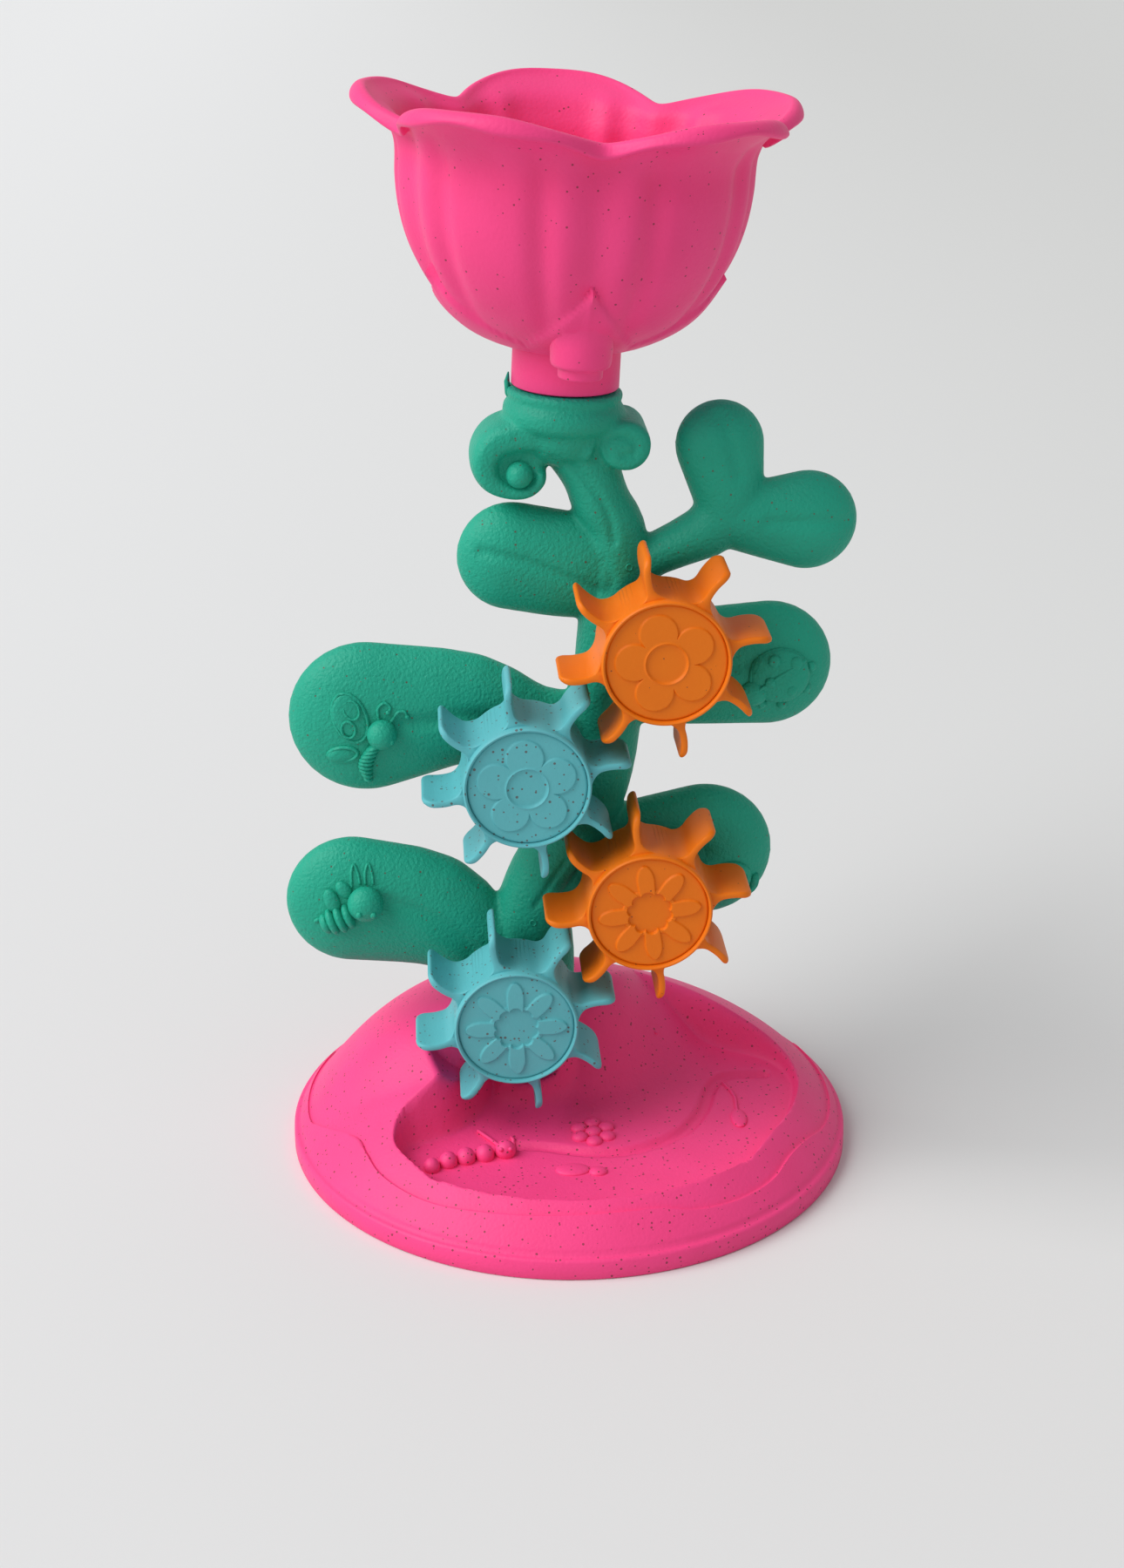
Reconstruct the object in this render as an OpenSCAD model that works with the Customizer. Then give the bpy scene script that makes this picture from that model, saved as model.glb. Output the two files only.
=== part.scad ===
// Sand wheel toy. A flower-shaped funnel sits on a leafy stem, and sand that runs out of its spout
// turns four meshing paddle wheels above a pond in the domed base.
// Millimetres, +Z up, origin on the ground under the middle of the base, wheels towards -Y.

/* [Base] */
// Diameter over the skirt that stands on the ground
base_d = 174; // [164:1:184]
// Height of the upright skirt band
skirt_h = 6.5; // [5:0.5:8]
// Width of the ledge on top of the skirt
ledge_w = 5; // [3:0.5:7]
// Height of the broad dome over the middle
dome_h = 45.5; // [43:0.5:47.5]
// Height of the hill under the stem, before the socket is let in
hill_h = 51.5; // [50:0.5:54]
// Radius of the hill where it leaves the skirt
hill_r = 72; // [68:1:75]
// How far the hill and the stem stand to the left of the middle
hill_shift = 10.6; // [8:0.2:13]
// Wall thickness of the base
base_wall = 2.4; // [1.8:0.2:3]
// Height of the pond's floor
pond_floor = 12.5; // [11:0.5:14]
// Radius of the pond's front border
pond_r = 73; // [70:0.5:75]
// Radius of the pond's back border
pond_back_r = 70; // [68:0.5:71]
// Reach of the dished bank from that border down to the pond's floor
pond_bank_w = 15; // [12:0.5:17]
// Height of that bank
pond_bank_h = 14; // [12:0.5:16]
// Radius of the hill's foot, where its front slopes into the pond
hill_foot_r = 48; // [46:0.5:50]
// How far behind the middle the centre of that foot lies
hill_foot_back = 35; // [34:0.5:37]
// How far left of the middle it lies
hill_foot_left = 2; // [1:0.5:4]
// How far the hill's front leans back from its foot to its top
hill_slope = 13; // [11:0.5:15]
// Radius of the left bank's foot, beside the pond's narrow left end
left_bank_r = 40; // [38:0.5:41]
// How far the left bank leans back from its foot to its top
left_bank_slope = 19; // [17:0.5:21]

/* [Stem] */
// Lean of the stem to the right, in degrees
stem_lean = 2.75; // [0:0.25:4]
// Height of the shoulder that sits on the base's socket
shoulder_z = 48; // [47:0.5:50]
// Radius of the foot that plugs into the base
foot_r = 9; // [7.5:0.25:9.25]
// Length of the foot
foot_len = 28; // [20:1:34]
// Clearance round the plugs and under their shoulders
push_gap = 0.4; // [0.3:0.05:0.6]
// Half of the trunk's depth from front to back
trunk_t = 10; // [9:0.25:11]
// Half of a leaf's depth from front to back
leaf_t = 8; // [6:0.25:9]
// Wall thickness of the two stem shells
stem_wall = 2; // [1.6:0.2:2.6]
// Radius of the boss behind each wheel
boss_r = 6.5; // [5.5:0.25:8]
// Height of the collar's top
collar_z = 239; // [236:0.5:243]
// Radius of the collar
collar_r = 17; // [15:0.25:19]
// Height of the collar
collar_h = 18; // [16:0.5:22]
// Radius of the large scroll on the collar's left
left_scroll_r = 13; // [11:0.25:14]
// Radius of the small scroll on the collar's right
right_scroll_r = 8.7; // [7:0.1:9.5]
// Depth of the scrolls from front to back
scroll_depth = 24; // [18:1:28]

/* [Funnel] */
// Radius of the neck that rests on the collar
neck_r = 15.25; // [14.5:0.25:16]
// Height of the neck between the collar and the cup's lowest point
neck_len = 10; // [8:0.5:13]
// Radius of the spigot that plugs into the collar
spigot_r = 12; // [10:0.25:13]
// Length of the spigot
spigot_len = 14; // [9:0.5:15]
// Radius of the cup at its widest
cup_r = 49.5; // [45:0.5:54]
// Height of the cup up to the flare of the petals
cup_h = 54; // [48:1:60]
// Wall thickness of the cup
cup_wall = 2.2; // [1.6:0.2:3]
// Number of petals
petals = 5; // [4:1:7]
// Reach of a petal's tip from the funnel's axis
petal_tip_r = 62; // [57:0.5:66]
// Rise of a petal's tip above the cup's widest point
petal_tip_rise = 16; // [13:0.5:20]
// Rise of the notch between two petals
petal_notch_rise = 9.5; // [6:0.5:12]
// Turn of the funnel about its axis, in degrees
funnel_yaw = 4; // [-10:1:10]
// Distance of the spout from the funnel's axis
spout_reach = 23; // [21:0.5:25]
// Radius of the spout at its root
spout_r = 9; // [8:0.25:10]
// Radius of the spout's tip
spout_tip_r = 5.7; // [5.2:0.1:6.5]
// Radius of the hole through the spout
spout_bore_r = 4; // [3.5:0.1:4.5]
// How far the spout's tip hangs below the cup
spout_drop = 2; // [1:0.5:4]
// Length of the spout
spout_h = 14; // [12:0.5:16]
// Length of the narrow rim at the spout's tip
spout_rim_h = 3; // [2:0.25:4]

/* [Wheels] */
// Place of the left axles, measured from the stem's own axis
wheel_left_x = -7.7; // [-10:0.1:-6]
// Place of the right axles, measured from the stem's own axis
wheel_right_x = 29.7; // [28:0.1:32]
// Height of the lowest axle
wheel_first_z = 54.3; // [53:0.1:56]
// Step in height from one axle to the next
wheel_step = 38.5; // [37.5:0.1:40]
// Distance of a wheel's back from the parting plane of the stem
wheel_back = 13; // [12.5:0.25:16]
// Running gap between a wheel and its boss
wheel_gap = 0.6; // [0.4:0.1:1]
// Radius of the drum
drum_r = 18.4; // [17:0.1:19.5]
// Depth of the drum from back to front
drum_depth = 24; // [22:0.5:27]
// Wall thickness of the drum
drum_wall = 2; // [1.6:0.1:2.4]
// Number of paddles on a wheel
paddle_count = 8; // [6:1:9]
// Reach of the paddles from the axle
paddle_r = 30.5; // [28:0.1:31.5]
// Width of a paddle along the axle
paddle_w = 21.5; // [18:0.5:22]
// Thickness of a paddle
paddle_t = 2; // [1.6:0.1:2.6]
// Radius of the bow in a paddle
paddle_bow_r = 16; // [13:0.5:24]
// Radius of a paddle's outer corners
paddle_corner = 3.5; // [2:0.25:5]
// Turn of the top wheel at rest, in degrees
first_spin = 12.5; // [0:0.5:45]
// Radius of the hub
hub_r = 6; // [5:0.25:7]
// Radius of the axle pin
axle_r = 3; // [2.5:0.1:3.5]
// Radial running clearance of a wheel on its axle
axle_gap = 0.05; // [0.02:0.01:0.1]
// Radius of the axle pin's head
axle_head_r = 5.5; // [5:0.25:7]
// Thickness of the axle pin's head
axle_head_t = 1.8; // [1.2:0.1:2]
// Thickness of the cap that closes a drum
cap_t = 1.4; // [1:0.1:1.6]
// Depth of the cap's face behind the drum's front rim
cap_sink = 1.2; // [1:0.1:1.6]
// Height of the flower relief on a cap
relief_h = 0.8; // [0.4:0.1:0.9]

/* [Hidden] */
$fn = 64;

PINK = "hotpink";
GREEN = "mediumseagreen";
ORANGE = "darkorange";
BLUE = "mediumturquoise";

far = 400;
base_r = base_d / 2;
dome_r = base_r - ledge_w;
pond_back_place = [16, -44];
left_bank_place = [-42, 2];
bank_steps = 4;
bank_curve = 2.2;
hill_front = trunk_t + 1.2;
bay_gap = 1.2;
socket_r = foot_r + push_gap;
socket_wall = 2;

// Sides of the ball-shaped blobs that the stem is drawn over
blob_sides = 14;
hollow_sides = 10;
// How much deeper a blob is for each millimetre of its radius
blob_swell = 0.15;
// The trunk's blobs from the shoulder up, as [x, z, radius] from the stem's own axis
trunk = [
    [0, shoulder_z + 2, 12], [-1, 62, 12.5], [-2, 74, 12.1], [1, 89, 10.7], [6, 98, 10.4],
    [13, 114, 10.6], [16, 131, 11], [17, 150, 10.6], [17.5, 168, 10.4], [17.5, 185, 10],
    [16.5, collar_z - 41, 8.8], [12, collar_z - 33, 8.5], [8.5, collar_z - 24, 8.7], [3, collar_z - 13, 11]
];
// The leaves' blobs from the trunk to the tip, in the same way
leaves = [
    [[17, 184.5, 11], [5, 186.5, 15.5], [-13, 189, 16]],
    [[17, 184, 8], [29, 191, 6.2], [48, 203, 9], [45, 224, 12.8]],
    [[48, 203, 9], [72, 202.5, 14.6]],
    [[16, 151, 11], [33, 155.5, 17], [64, 158.5, 19]],
    [[13, 136.5, 11], [-5, 137.5, 12], [-25, 142, 17], [-54, 138.5, 23]],
    [[8, 92.5, 11], [27, 95.5, 17], [49, 98, 21]],
    [[-1, 62.5, 12], [-17, 66.5, 13], [-34, 76, 18.5], [-57, 79, 20.3]]
];
trunk_line = [for (blob = trunk) [blob[1], blob[0]]];
boss_pad_r = boss_r + 2.5;
left_scroll = [-left_scroll_r, collar_z - collar_h - 3.4];
right_scroll = [collar_r + 0.5, collar_z - 14];

cup_low = collar_z + neck_len;
cup_wide = cup_low + cup_h;
cup_curve = 2.4;
cup_start = 0.96;
cup_rows = 8;
cup_sides = petals * 10;
groove = 1.6;
lip_t = 2.6;

wheels = 4;
paddle_pitch = 360 / paddle_count;
paddle_root = drum_r - drum_wall / 2;
web_t = 2;
cap_r = drum_r - 1.2;
cap_ledge = 1.2;
cap_fit = 0.05;
cap_back = drum_depth - cap_sink - cap_t;
head_gap = 0.3;
web_front = cap_back - 2 * head_gap - axle_head_t;
boss_front = wheel_back - wheel_gap;
pin_end = 1;
flower_r = 14.4;
eye_r = 5.8;

// Radius of a ball, from its top and the radius it has at the top of the skirt
function ball_r(r, top) = (r * r + pow(top - skirt_h, 2)) / (2 * (top - skirt_h));

// Wheels are counted from the top, and stand right and left of the stem in turn
function wheel_x(i) = i % 2 == 0 ? wheel_right_x : wheel_left_x;
function wheel_z(i) = wheel_first_z + (wheels - 1 - i) * wheel_step;
function bearing(a, b) = atan2(wheel_z(b) - wheel_z(a), wheel_x(b) - wheel_x(a));
// Each wheel is turned so that its paddles stand midway between those of the wheel above
function mesh_sum(i) = paddle_pitch / 2 + bearing(i - 1, i) + bearing(i, i - 1);
function spin(i) = i == 0 ? first_spin : mesh_sum(i) - spin(i - 1);

// How far a point of the cup's edge is towards a petal's middle, from 0 at a notch to 1
function petal(a) = pow(abs(sin(petals / 2 * a)), 0.7);
function bowl_r(s) = cup_r * sqrt(1 - pow(1 - s, cup_curve));
function bowl_point(a, s, inset) =
    let (r = bowl_r(s) - groove * s * (1 - petal(a)) - inset)
    [r * sin(a), -r * cos(a), cup_low + cup_h * s];
function lip_rise(a) = petal_notch_rise + (petal_tip_rise - petal_notch_rise) * petal(a);
function lip_r(a) = cup_r - groove + (petal_tip_r - cup_r + groove) * petal(a);
function lip_point(a, s, inset) =
    let (r = (1 - s * s) * (cup_r - groove * (1 - petal(a))) + s * s * lip_r(a) - inset)
    [r * sin(a), -r * cos(a), cup_wide + s * lip_rise(a)];
function cup_row(a_list, s, inset) = [for (a = a_list) bowl_point(a, s, inset)];
function lip_row(a_list, s, inset) = [for (a = a_list) lip_point(a, s, inset)];
cup_angles = [for (i = [0 : cup_sides - 1]) i * 360 / cup_sides];

// Puts what is drawn upright from the stem's own axis in its place on the hill
module leaned() {
    translate([-hill_shift, 0, shoulder_z])
        rotate([0, stem_lean, 0])
            translate([0, 0, -shoulder_z])
                children();
}

// Puts what is drawn from a wheel's back, with its front towards +Z, in its place on the stem
module at_wheel(i) {
    leaned()
        translate([wheel_x(i), -wheel_back, wheel_z(i)])
            rotate([90, 0, 0])
                children();
}

// A round dish with a bank that gets steeper up to its border
module pond_dish(grow) {
    floor_z = pond_floor - grow;
    reach = pond_back_r + grow;
    side = [for (i = [0 : bank_steps])
        [reach - pond_bank_w * (1 - i / bank_steps), floor_z + pond_bank_h * pow(i / bank_steps, bank_curve)]];
    translate(pond_back_place)
        rotate_extrude()
            polygon(concat([[0, floor_z]], side, [[reach, far], [0, far]]));
}

// A bank that leans back from its foot in the pond
module bank(place, foot, slope) {
    low = pond_floor - 2 * base_wall;
    translate([place[0], place[1], low]) cylinder(h = hill_h - low, r1 = foot, r2 = foot - slope);
}

// The front of the hill, and the bank beside the pond's left end
module banks(inset) {
    bank([-hill_foot_left, hill_foot_back], hill_foot_r - inset, hill_slope);
    bank(left_bank_place, left_bank_r - inset, left_bank_slope);
}

// The pond's hollow, less the banks that slope into it
module pond_hollow(grow) {
    difference() {
        intersection() {
            pond_dish(grow);
            cylinder(h = 2 * far, r = pond_r + grow);
        }
        banks(grow);
    }
}

// The front of the hill bulges round the socket
module socket_bulge() {
    low = pond_floor - base_wall;
    leaned() translate([0, 0, low]) cylinder(h = far, r = socket_r + socket_wall + bay_gap);
}

// Room for the lowest wheel's paddles in front of the hill
module wheel_bay(grow) {
    leaned()
        translate([wheel_x(wheels - 1), -hill_front + grow, wheel_z(wheels - 1)])
            rotate([90, 0, 0])
                cylinder(h = base_r, r = paddle_r + bay_gap + grow);
}

// The part of a ball above a level, with its top and its radius at the skirt given
module ball_top(r, top, inset, low) {
    ball = ball_r(r, top);
    intersection() {
        translate([0, 0, top - ball]) sphere(ball - inset);
        translate([0, 0, low]) cylinder(h = far, r = base_d);
    }
}

module dome(inset, low) {
    ball_top(dome_r, dome_h, inset, low);
    translate([-hill_shift, 0, 0]) ball_top(hill_r, hill_h, inset, low);
}

module socket_tube() {
    leaned()
        translate([0, 0, shoulder_z - foot_len - push_gap - socket_wall])
            cylinder(h = foot_len + push_gap + socket_wall, r = socket_r + socket_wall);
}

module socket_bore() {
    leaned()
        translate([0, 0, shoulder_z - foot_len - push_gap])
            cylinder(h = far, r = socket_r);
}

module base_cavity() {
    difference() {
        union() {
            translate([0, 0, -base_wall]) cylinder(h = skirt_h, r = base_r - base_wall);
            dome(base_wall, -1);
        }
        pond_hollow(base_wall);
        wheel_bay(base_wall);
        shoulder_cut(base_wall);
        socket_tube();
    }
}

// A flat seat for the stem's shoulder is cut across the top of the hill
module shoulder_cut(drop) {
    leaned() translate([0, 0, shoulder_z - drop]) cylinder(h = far, r = base_r);
}

module base() {
    color(PINK)
        difference() {
            union() {
                cylinder(h = skirt_h, r = base_r);
                dome(0, 1);
            }
            difference() {
                pond_hollow(0);
                socket_bulge();
            }
            wheel_bay(0);
            shoulder_cut(0);
            base_cavity();
            socket_bore();
        }
}

module blob(place, depth, inset, sides) {
    r = place[2] - inset;
    half_depth = depth + blob_swell * (place[2] - trunk_t) - inset;
    translate([place[0], 0, place[1]])
        scale([1, half_depth / r, 1])
            rotate([90, 0, 0])
                sphere(r, $fn = sides);
}

module chain(places, depth, inset, sides) {
    for (i = [1 : len(places) - 1])
        hull() {
            blob(places[i - 1], depth, inset, sides);
            blob(places[i], depth, inset, sides);
        }
}

// A pad ties each axle's boss to the trunk
module boss_pads() {
    for (i = [0 : wheels - 1])
        hull() {
            blob([wheel_x(i), wheel_z(i), boss_pad_r], leaf_t, 0, blob_sides);
            blob([lookup(wheel_z(i), trunk_line), wheel_z(i), boss_pad_r], leaf_t, 0, blob_sides);
        }
}

module scroll(place, r) {
    translate([place[0], 0, place[1]])
        rotate([90, 0, 0])
            hull() {
                cylinder(h = scroll_depth, r = r * 0.8, center = true, $fn = 32);
                cylinder(h = scroll_depth * 0.75, r = r, center = true, $fn = 32);
            }
}

module collar() {
    translate([0, 0, collar_z - collar_h]) cylinder(h = collar_h, r = collar_r);
    scroll(left_scroll, left_scroll_r);
    scroll(right_scroll, right_scroll_r);
}

// What the stem holds above its shoulder, clear of the hill's flat seat
module above_shoulder() {
    difference() {
        union() children();
        translate([0, 0, shoulder_z + push_gap - far]) cylinder(h = far, r = base_r);
    }
}

// Trunk, leaves and collar as one closed form, before they are hollowed and parted
module plant() {
    above_shoulder() {
        chain(trunk, trunk_t, 0, blob_sides);
        for (leaf = leaves) chain(leaf, leaf_t, 0, blob_sides);
        boss_pads();
    }
    translate([0, 0, shoulder_z - foot_len]) cylinder(h = foot_len + foot_r, r = foot_r);
    collar();
}

module plant_hollow() {
    chain(trunk, trunk_t, stem_wall, hollow_sides);
    for (leaf = leaves) chain(leaf, leaf_t, stem_wall, hollow_sides);
}

module collar_socket() {
    depth = spigot_len + push_gap;
    translate([0, 0, collar_z - depth]) cylinder(h = depth + far, r = spigot_r + push_gap);
}

module boss(i) {
    translate([wheel_x(i), 0, wheel_z(i)])
        rotate([90, 0, 0])
            cylinder(h = boss_front, r = boss_r, $fn = 32);
}

module pin_hole(i) {
    translate([wheel_x(i), -pin_end, wheel_z(i)])
        rotate([90, 0, 0])
            cylinder(h = far, r = axle_r);
}

// The half of space in front of the parting plane
module front_space() {
    translate([-far, -far, -far]) cube([2 * far, far, 2 * far]);
}

module half_plant() {
    intersection() {
        difference() {
            plant();
            plant_hollow();
            collar_socket();
        }
        front_space();
    }
}

module stem_front() {
    color(GREEN)
        leaned()
            difference() {
                union() {
                    half_plant();
                    above_shoulder() for (i = [0 : wheels - 1]) boss(i);
                }
                for (i = [0 : wheels - 1]) pin_hole(i);
            }
}

module stem_back() {
    color(GREEN)
        leaned()
            mirror([0, 1, 0])
                half_plant();
}

// A closed form through rows of points, each row one ring, with a point at each end
module ring_solid(rows, low, high) {
    n = len(rows[0]);
    m = len(rows);
    points = concat([for (row = rows) for (p = row) p], [low, high]);
    sides = [for (k = [0 : m - 2]) for (i = [0 : n - 1]) for (half = [0, 1])
        let (a = k * n + i, b = k * n + (i + 1) % n)
        half == 0 ? [a, a + n, b] : [b, a + n, b + n]];
    bottom = [for (i = [0 : n - 1]) [i, (i + 1) % n, m * n]];
    top = [for (i = [0 : n - 1]) [(m - 1) * n + (i + 1) % n, (m - 1) * n + i, m * n + 1]];
    polyhedron(points, concat(sides, bottom, top));
}

function cup_steps() = [for (k = [0 : cup_rows]) 1 - cup_start * pow(1 - k / cup_rows, 1.4)];

module cup_outside() {
    rows = concat(
        [for (s = cup_steps()) cup_row(cup_angles, s, 0)],
        [for (s = [0.5, 1]) lip_row(cup_angles, s, 0)]
    );
    ring_solid(rows, [0, 0, rows[0][0][2]], [0, 0, cup_wide]);
}

module cup_inside() {
    body = [for (s = cup_steps()) [for (p = cup_row(cup_angles, s, cup_wall)) p + [0, 0, cup_wall]]];
    lips = [for (s = [0.5, 1]) lip_row(cup_angles, s, lip_t)];
    mouth = [for (p = lips[1]) p + [0, 0, cup_h]];
    rows = concat(body, lips, [mouth]);
    ring_solid(rows, [0, 0, rows[0][0][2]], [0, 0, cup_wide + 2 * cup_h]);
}

module at_spout() {
    translate([0, -spout_reach, cup_low - spout_drop]) children();
}

module spout() {
    at_spout() {
        cylinder(h = spout_rim_h, r = spout_tip_r);
        translate([0, 0, spout_rim_h])
            cylinder(h = spout_h - spout_rim_h, r1 = (spout_tip_r + spout_r) / 2, r2 = spout_r);
    }
}

module neck() {
    foot = collar_z + push_gap;
    translate([0, 0, foot]) cylinder(h = cup_low + 2 * cup_wall - foot, r = neck_r);
    translate([0, 0, collar_z - spigot_len]) cylinder(h = spigot_len + neck_len, r = spigot_r);
}

module neck_bore() {
    translate([0, 0, collar_z - spigot_len - 1])
        cylinder(h = spigot_len + neck_len, r = spigot_r - cup_wall);
}

module funnel() {
    color(PINK)
        leaned()
            rotate([0, 0, funnel_yaw])
                difference() {
                    union() {
                        cup_outside();
                        spout();
                        neck();
                    }
                    cup_inside();
                    neck_bore();
                    at_spout() translate([0, 0, -1]) cylinder(h = spout_h + spout_r, r = spout_bore_r);
                }
}

module drum_section() {
    difference() {
        square([drum_r, drum_depth]);
        translate([hub_r, -1]) square([drum_r - drum_wall - hub_r, web_front - web_t + 1]);
        translate([-1, web_front]) square([cap_r - cap_ledge + 1, far]);
        translate([-1, cap_back]) square([cap_r + cap_fit + 1, far]);
        translate([-1, -1]) square([axle_r + axle_gap + 1, far]);
    }
}

// One bowed paddle along +X, hollow towards its clockwise side
module paddle_outline() {
    half = (paddle_r - paddle_root) / 2;
    intersection() {
        translate([paddle_root + half, -sqrt(paddle_bow_r * paddle_bow_r - half * half)])
            difference() {
                circle(r = paddle_bow_r + paddle_t / 2);
                circle(r = paddle_bow_r - paddle_t / 2);
            }
        translate([paddle_root, -half]) square([2 * half, 2 * half]);
    }
}

// The round-cornered band that the paddles sweep
module paddle_sweep() {
    rotate_extrude() {
        square([paddle_r - paddle_corner, paddle_w]);
        translate([0, paddle_corner]) square([paddle_r, paddle_w - 2 * paddle_corner]);
        for (y = [paddle_corner, paddle_w - paddle_corner])
            translate([paddle_r - paddle_corner, y]) circle(r = paddle_corner);
    }
}

module paddle_wheel(i, paint) {
    color(paint)
        at_wheel(i)
            rotate([0, 0, spin(i)]) {
                rotate_extrude() drum_section();
                intersection() {
                    linear_extrude(paddle_w)
                        for (k = [0 : paddle_count - 1])
                            rotate([0, 0, k * paddle_pitch]) paddle_outline();
                    paddle_sweep();
                }
            }
}

// Five round petals about a round eye
module round_flower() {
    petal_r = (flower_r - eye_r) * 0.62;
    for (k = [0 : 4])
        rotate([0, 0, k * 72]) translate([flower_r - petal_r, 0]) circle(r = petal_r);
    circle(r = eye_r);
}

// Eight slim pointed petals about a round eye
module daisy() {
    petal_bow = flower_r * 0.62;
    offset_y = petal_bow - flower_r * 0.19;
    for (k = [0 : 7])
        rotate([0, 0, k * 45])
            translate([flower_r * 0.62, 0])
                intersection() {
                    translate([0, offset_y]) circle(r = petal_bow);
                    translate([0, -offset_y]) circle(r = petal_bow);
                }
    circle(r = eye_r * 0.9);
}

module wheel_cap(i, paint) {
    color(paint)
        at_wheel(i)
            rotate([0, 0, spin(i)])
                translate([0, 0, cap_back]) {
                    cylinder(h = cap_t, r = cap_r);
                    linear_extrude(cap_t + relief_h)
                        if (i < 2) round_flower();
                        else daisy();
                }
}

module axle_pin(i) {
    color(GREEN)
        at_wheel(i) {
            translate([0, 0, pin_end - wheel_back])
                cylinder(h = wheel_back - pin_end + web_front + head_gap, r = axle_r);
            translate([0, 0, web_front + head_gap]) cylinder(h = axle_head_t, r = axle_head_r);
        }
}

base();
stem_front();
stem_back();
funnel();
paddle_wheel(0, ORANGE);  // paddle_wheel_1
paddle_wheel(1, BLUE);  // paddle_wheel_2
paddle_wheel(2, ORANGE);  // paddle_wheel_3
paddle_wheel(3, BLUE);  // paddle_wheel_4
wheel_cap(0, ORANGE);  // wheel_cap_1
wheel_cap(1, BLUE);  // wheel_cap_2
wheel_cap(2, ORANGE);  // wheel_cap_3
wheel_cap(3, BLUE);  // wheel_cap_4
axle_pin(0);  // axle_pin_1
axle_pin(1);  // axle_pin_2
axle_pin(2);  // axle_pin_3
axle_pin(3);  // axle_pin_4
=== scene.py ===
"""Looks of the sand wheel toy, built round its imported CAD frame."""

import math

import bpy
import numpy as np
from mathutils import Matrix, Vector


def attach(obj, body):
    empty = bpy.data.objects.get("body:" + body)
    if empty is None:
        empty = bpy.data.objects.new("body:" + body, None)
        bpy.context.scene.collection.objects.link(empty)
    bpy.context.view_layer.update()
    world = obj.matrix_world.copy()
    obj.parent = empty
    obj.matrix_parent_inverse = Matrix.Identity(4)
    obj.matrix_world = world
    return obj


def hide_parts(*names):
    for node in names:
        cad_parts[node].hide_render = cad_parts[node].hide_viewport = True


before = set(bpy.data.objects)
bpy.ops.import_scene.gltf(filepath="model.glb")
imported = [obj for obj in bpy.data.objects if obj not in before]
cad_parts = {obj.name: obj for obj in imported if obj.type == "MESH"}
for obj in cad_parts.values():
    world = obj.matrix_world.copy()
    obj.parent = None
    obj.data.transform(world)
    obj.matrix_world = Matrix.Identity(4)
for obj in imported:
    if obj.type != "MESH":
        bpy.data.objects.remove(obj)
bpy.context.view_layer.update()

# Sizes in millimetres, as in the part's source
MM = 0.001
TURN = 2 * math.pi
LEAN = math.radians(2.75)
HILL_SHIFT = 10.6
SHOULDER_Z = 48.0
COLLAR_Z = 239.0
FOOT_R = 9.0
FOOT_LEN = 28.0
PUSH_GAP = 0.4
BASE_R = 87.0
SKIRT_H = 6.5
BASE_WALL = 2.4
POND_FLOOR = 12.5
WHEEL_X = (29.7, -7.7, 29.7, -7.7)
WHEEL_Z = (169.8, 131.3, 92.8, 54.3)
WHEEL_BACK = 13.0
WHEEL_GAP = 0.6
DRUM_R = 18.4
DRUM_DEPTH = 24.0
PADDLES = 8
PADDLE_R = 30.5
PADDLE_W = 21.5
FIRST_SPIN = math.radians(12.5)
PETALS = 5
FUNNEL_YAW = math.radians(4)

# Names of the record's material slots
PINK = "pink_plastic"
GREEN = "green_plastic"
ORANGE = "orange_plastic"
BLUE = "blue_plastic"


# Small helpers for modelling by operators

def deselect():
    """Back to object mode with nothing selected, so that an operator acts on its own piece only."""
    if bpy.context.object and bpy.context.object.mode != "OBJECT":
        bpy.ops.object.mode_set(mode="OBJECT")
    bpy.ops.object.select_all(action="DESELECT")


def only(piece):
    """Selects one piece and makes it active."""
    deselect()
    piece.select_set(True)
    bpy.context.view_layer.objects.active = piece


def delete(piece):
    """Deletes one piece."""
    only(piece)
    bpy.ops.object.delete()


def copy_of(piece):
    """A copy of one piece."""
    only(piece)
    bpy.ops.object.duplicate()
    return bpy.context.object


def points_of(piece):
    """A piece's points in millimetres."""
    flat = np.empty(len(piece.data.vertices) * 3)
    piece.data.vertices.foreach_get("co", flat)
    return flat.reshape(-1, 3) / MM


def put(piece, points):
    """Writes a piece's points, given in millimetres."""
    piece.data.vertices.foreach_set("co", (np.asarray(points, float) * MM).ravel())
    piece.data.update()


def choose(piece, mask):
    """Enters edit mode with the masked points selected."""
    only(piece)
    mesh = piece.data
    mesh.polygons.foreach_set("select", np.zeros(len(mesh.polygons), bool))
    mesh.edges.foreach_set("select", np.zeros(len(mesh.edges), bool))
    mesh.vertices.foreach_set("select", np.asarray(mask, bool))
    bpy.ops.object.mode_set(mode="EDIT")
    bpy.ops.mesh.select_mode(type="VERT")


def choose_all(piece):
    """Enters edit mode with every point selected."""
    choose(piece, np.ones(len(piece.data.vertices), bool))


def join(pieces, name):
    """Joins pieces into one."""
    only(pieces[0])
    for piece in pieces:
        piece.select_set(True)
    if len(pieces) > 1:
        bpy.ops.object.join()
    joined = bpy.context.object
    joined.name = name
    joined.data.name = name
    return joined


def apply(piece, kind, **settings):
    """Adds a modifier to a piece and applies it."""
    only(piece)
    modifier = piece.modifiers.new(kind.lower(), kind)
    for key, value in settings.items():
        setattr(modifier, key, value)
    bpy.ops.object.modifier_apply(modifier=modifier.name)


def carve(piece, tool, operation):
    """Joins, cuts or keeps the overlap of a closed piece and a closed tool, which is then deleted."""
    apply(piece, "BOOLEAN", object=tool, operation=operation, solver="MANIFOLD")
    delete(tool)


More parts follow.
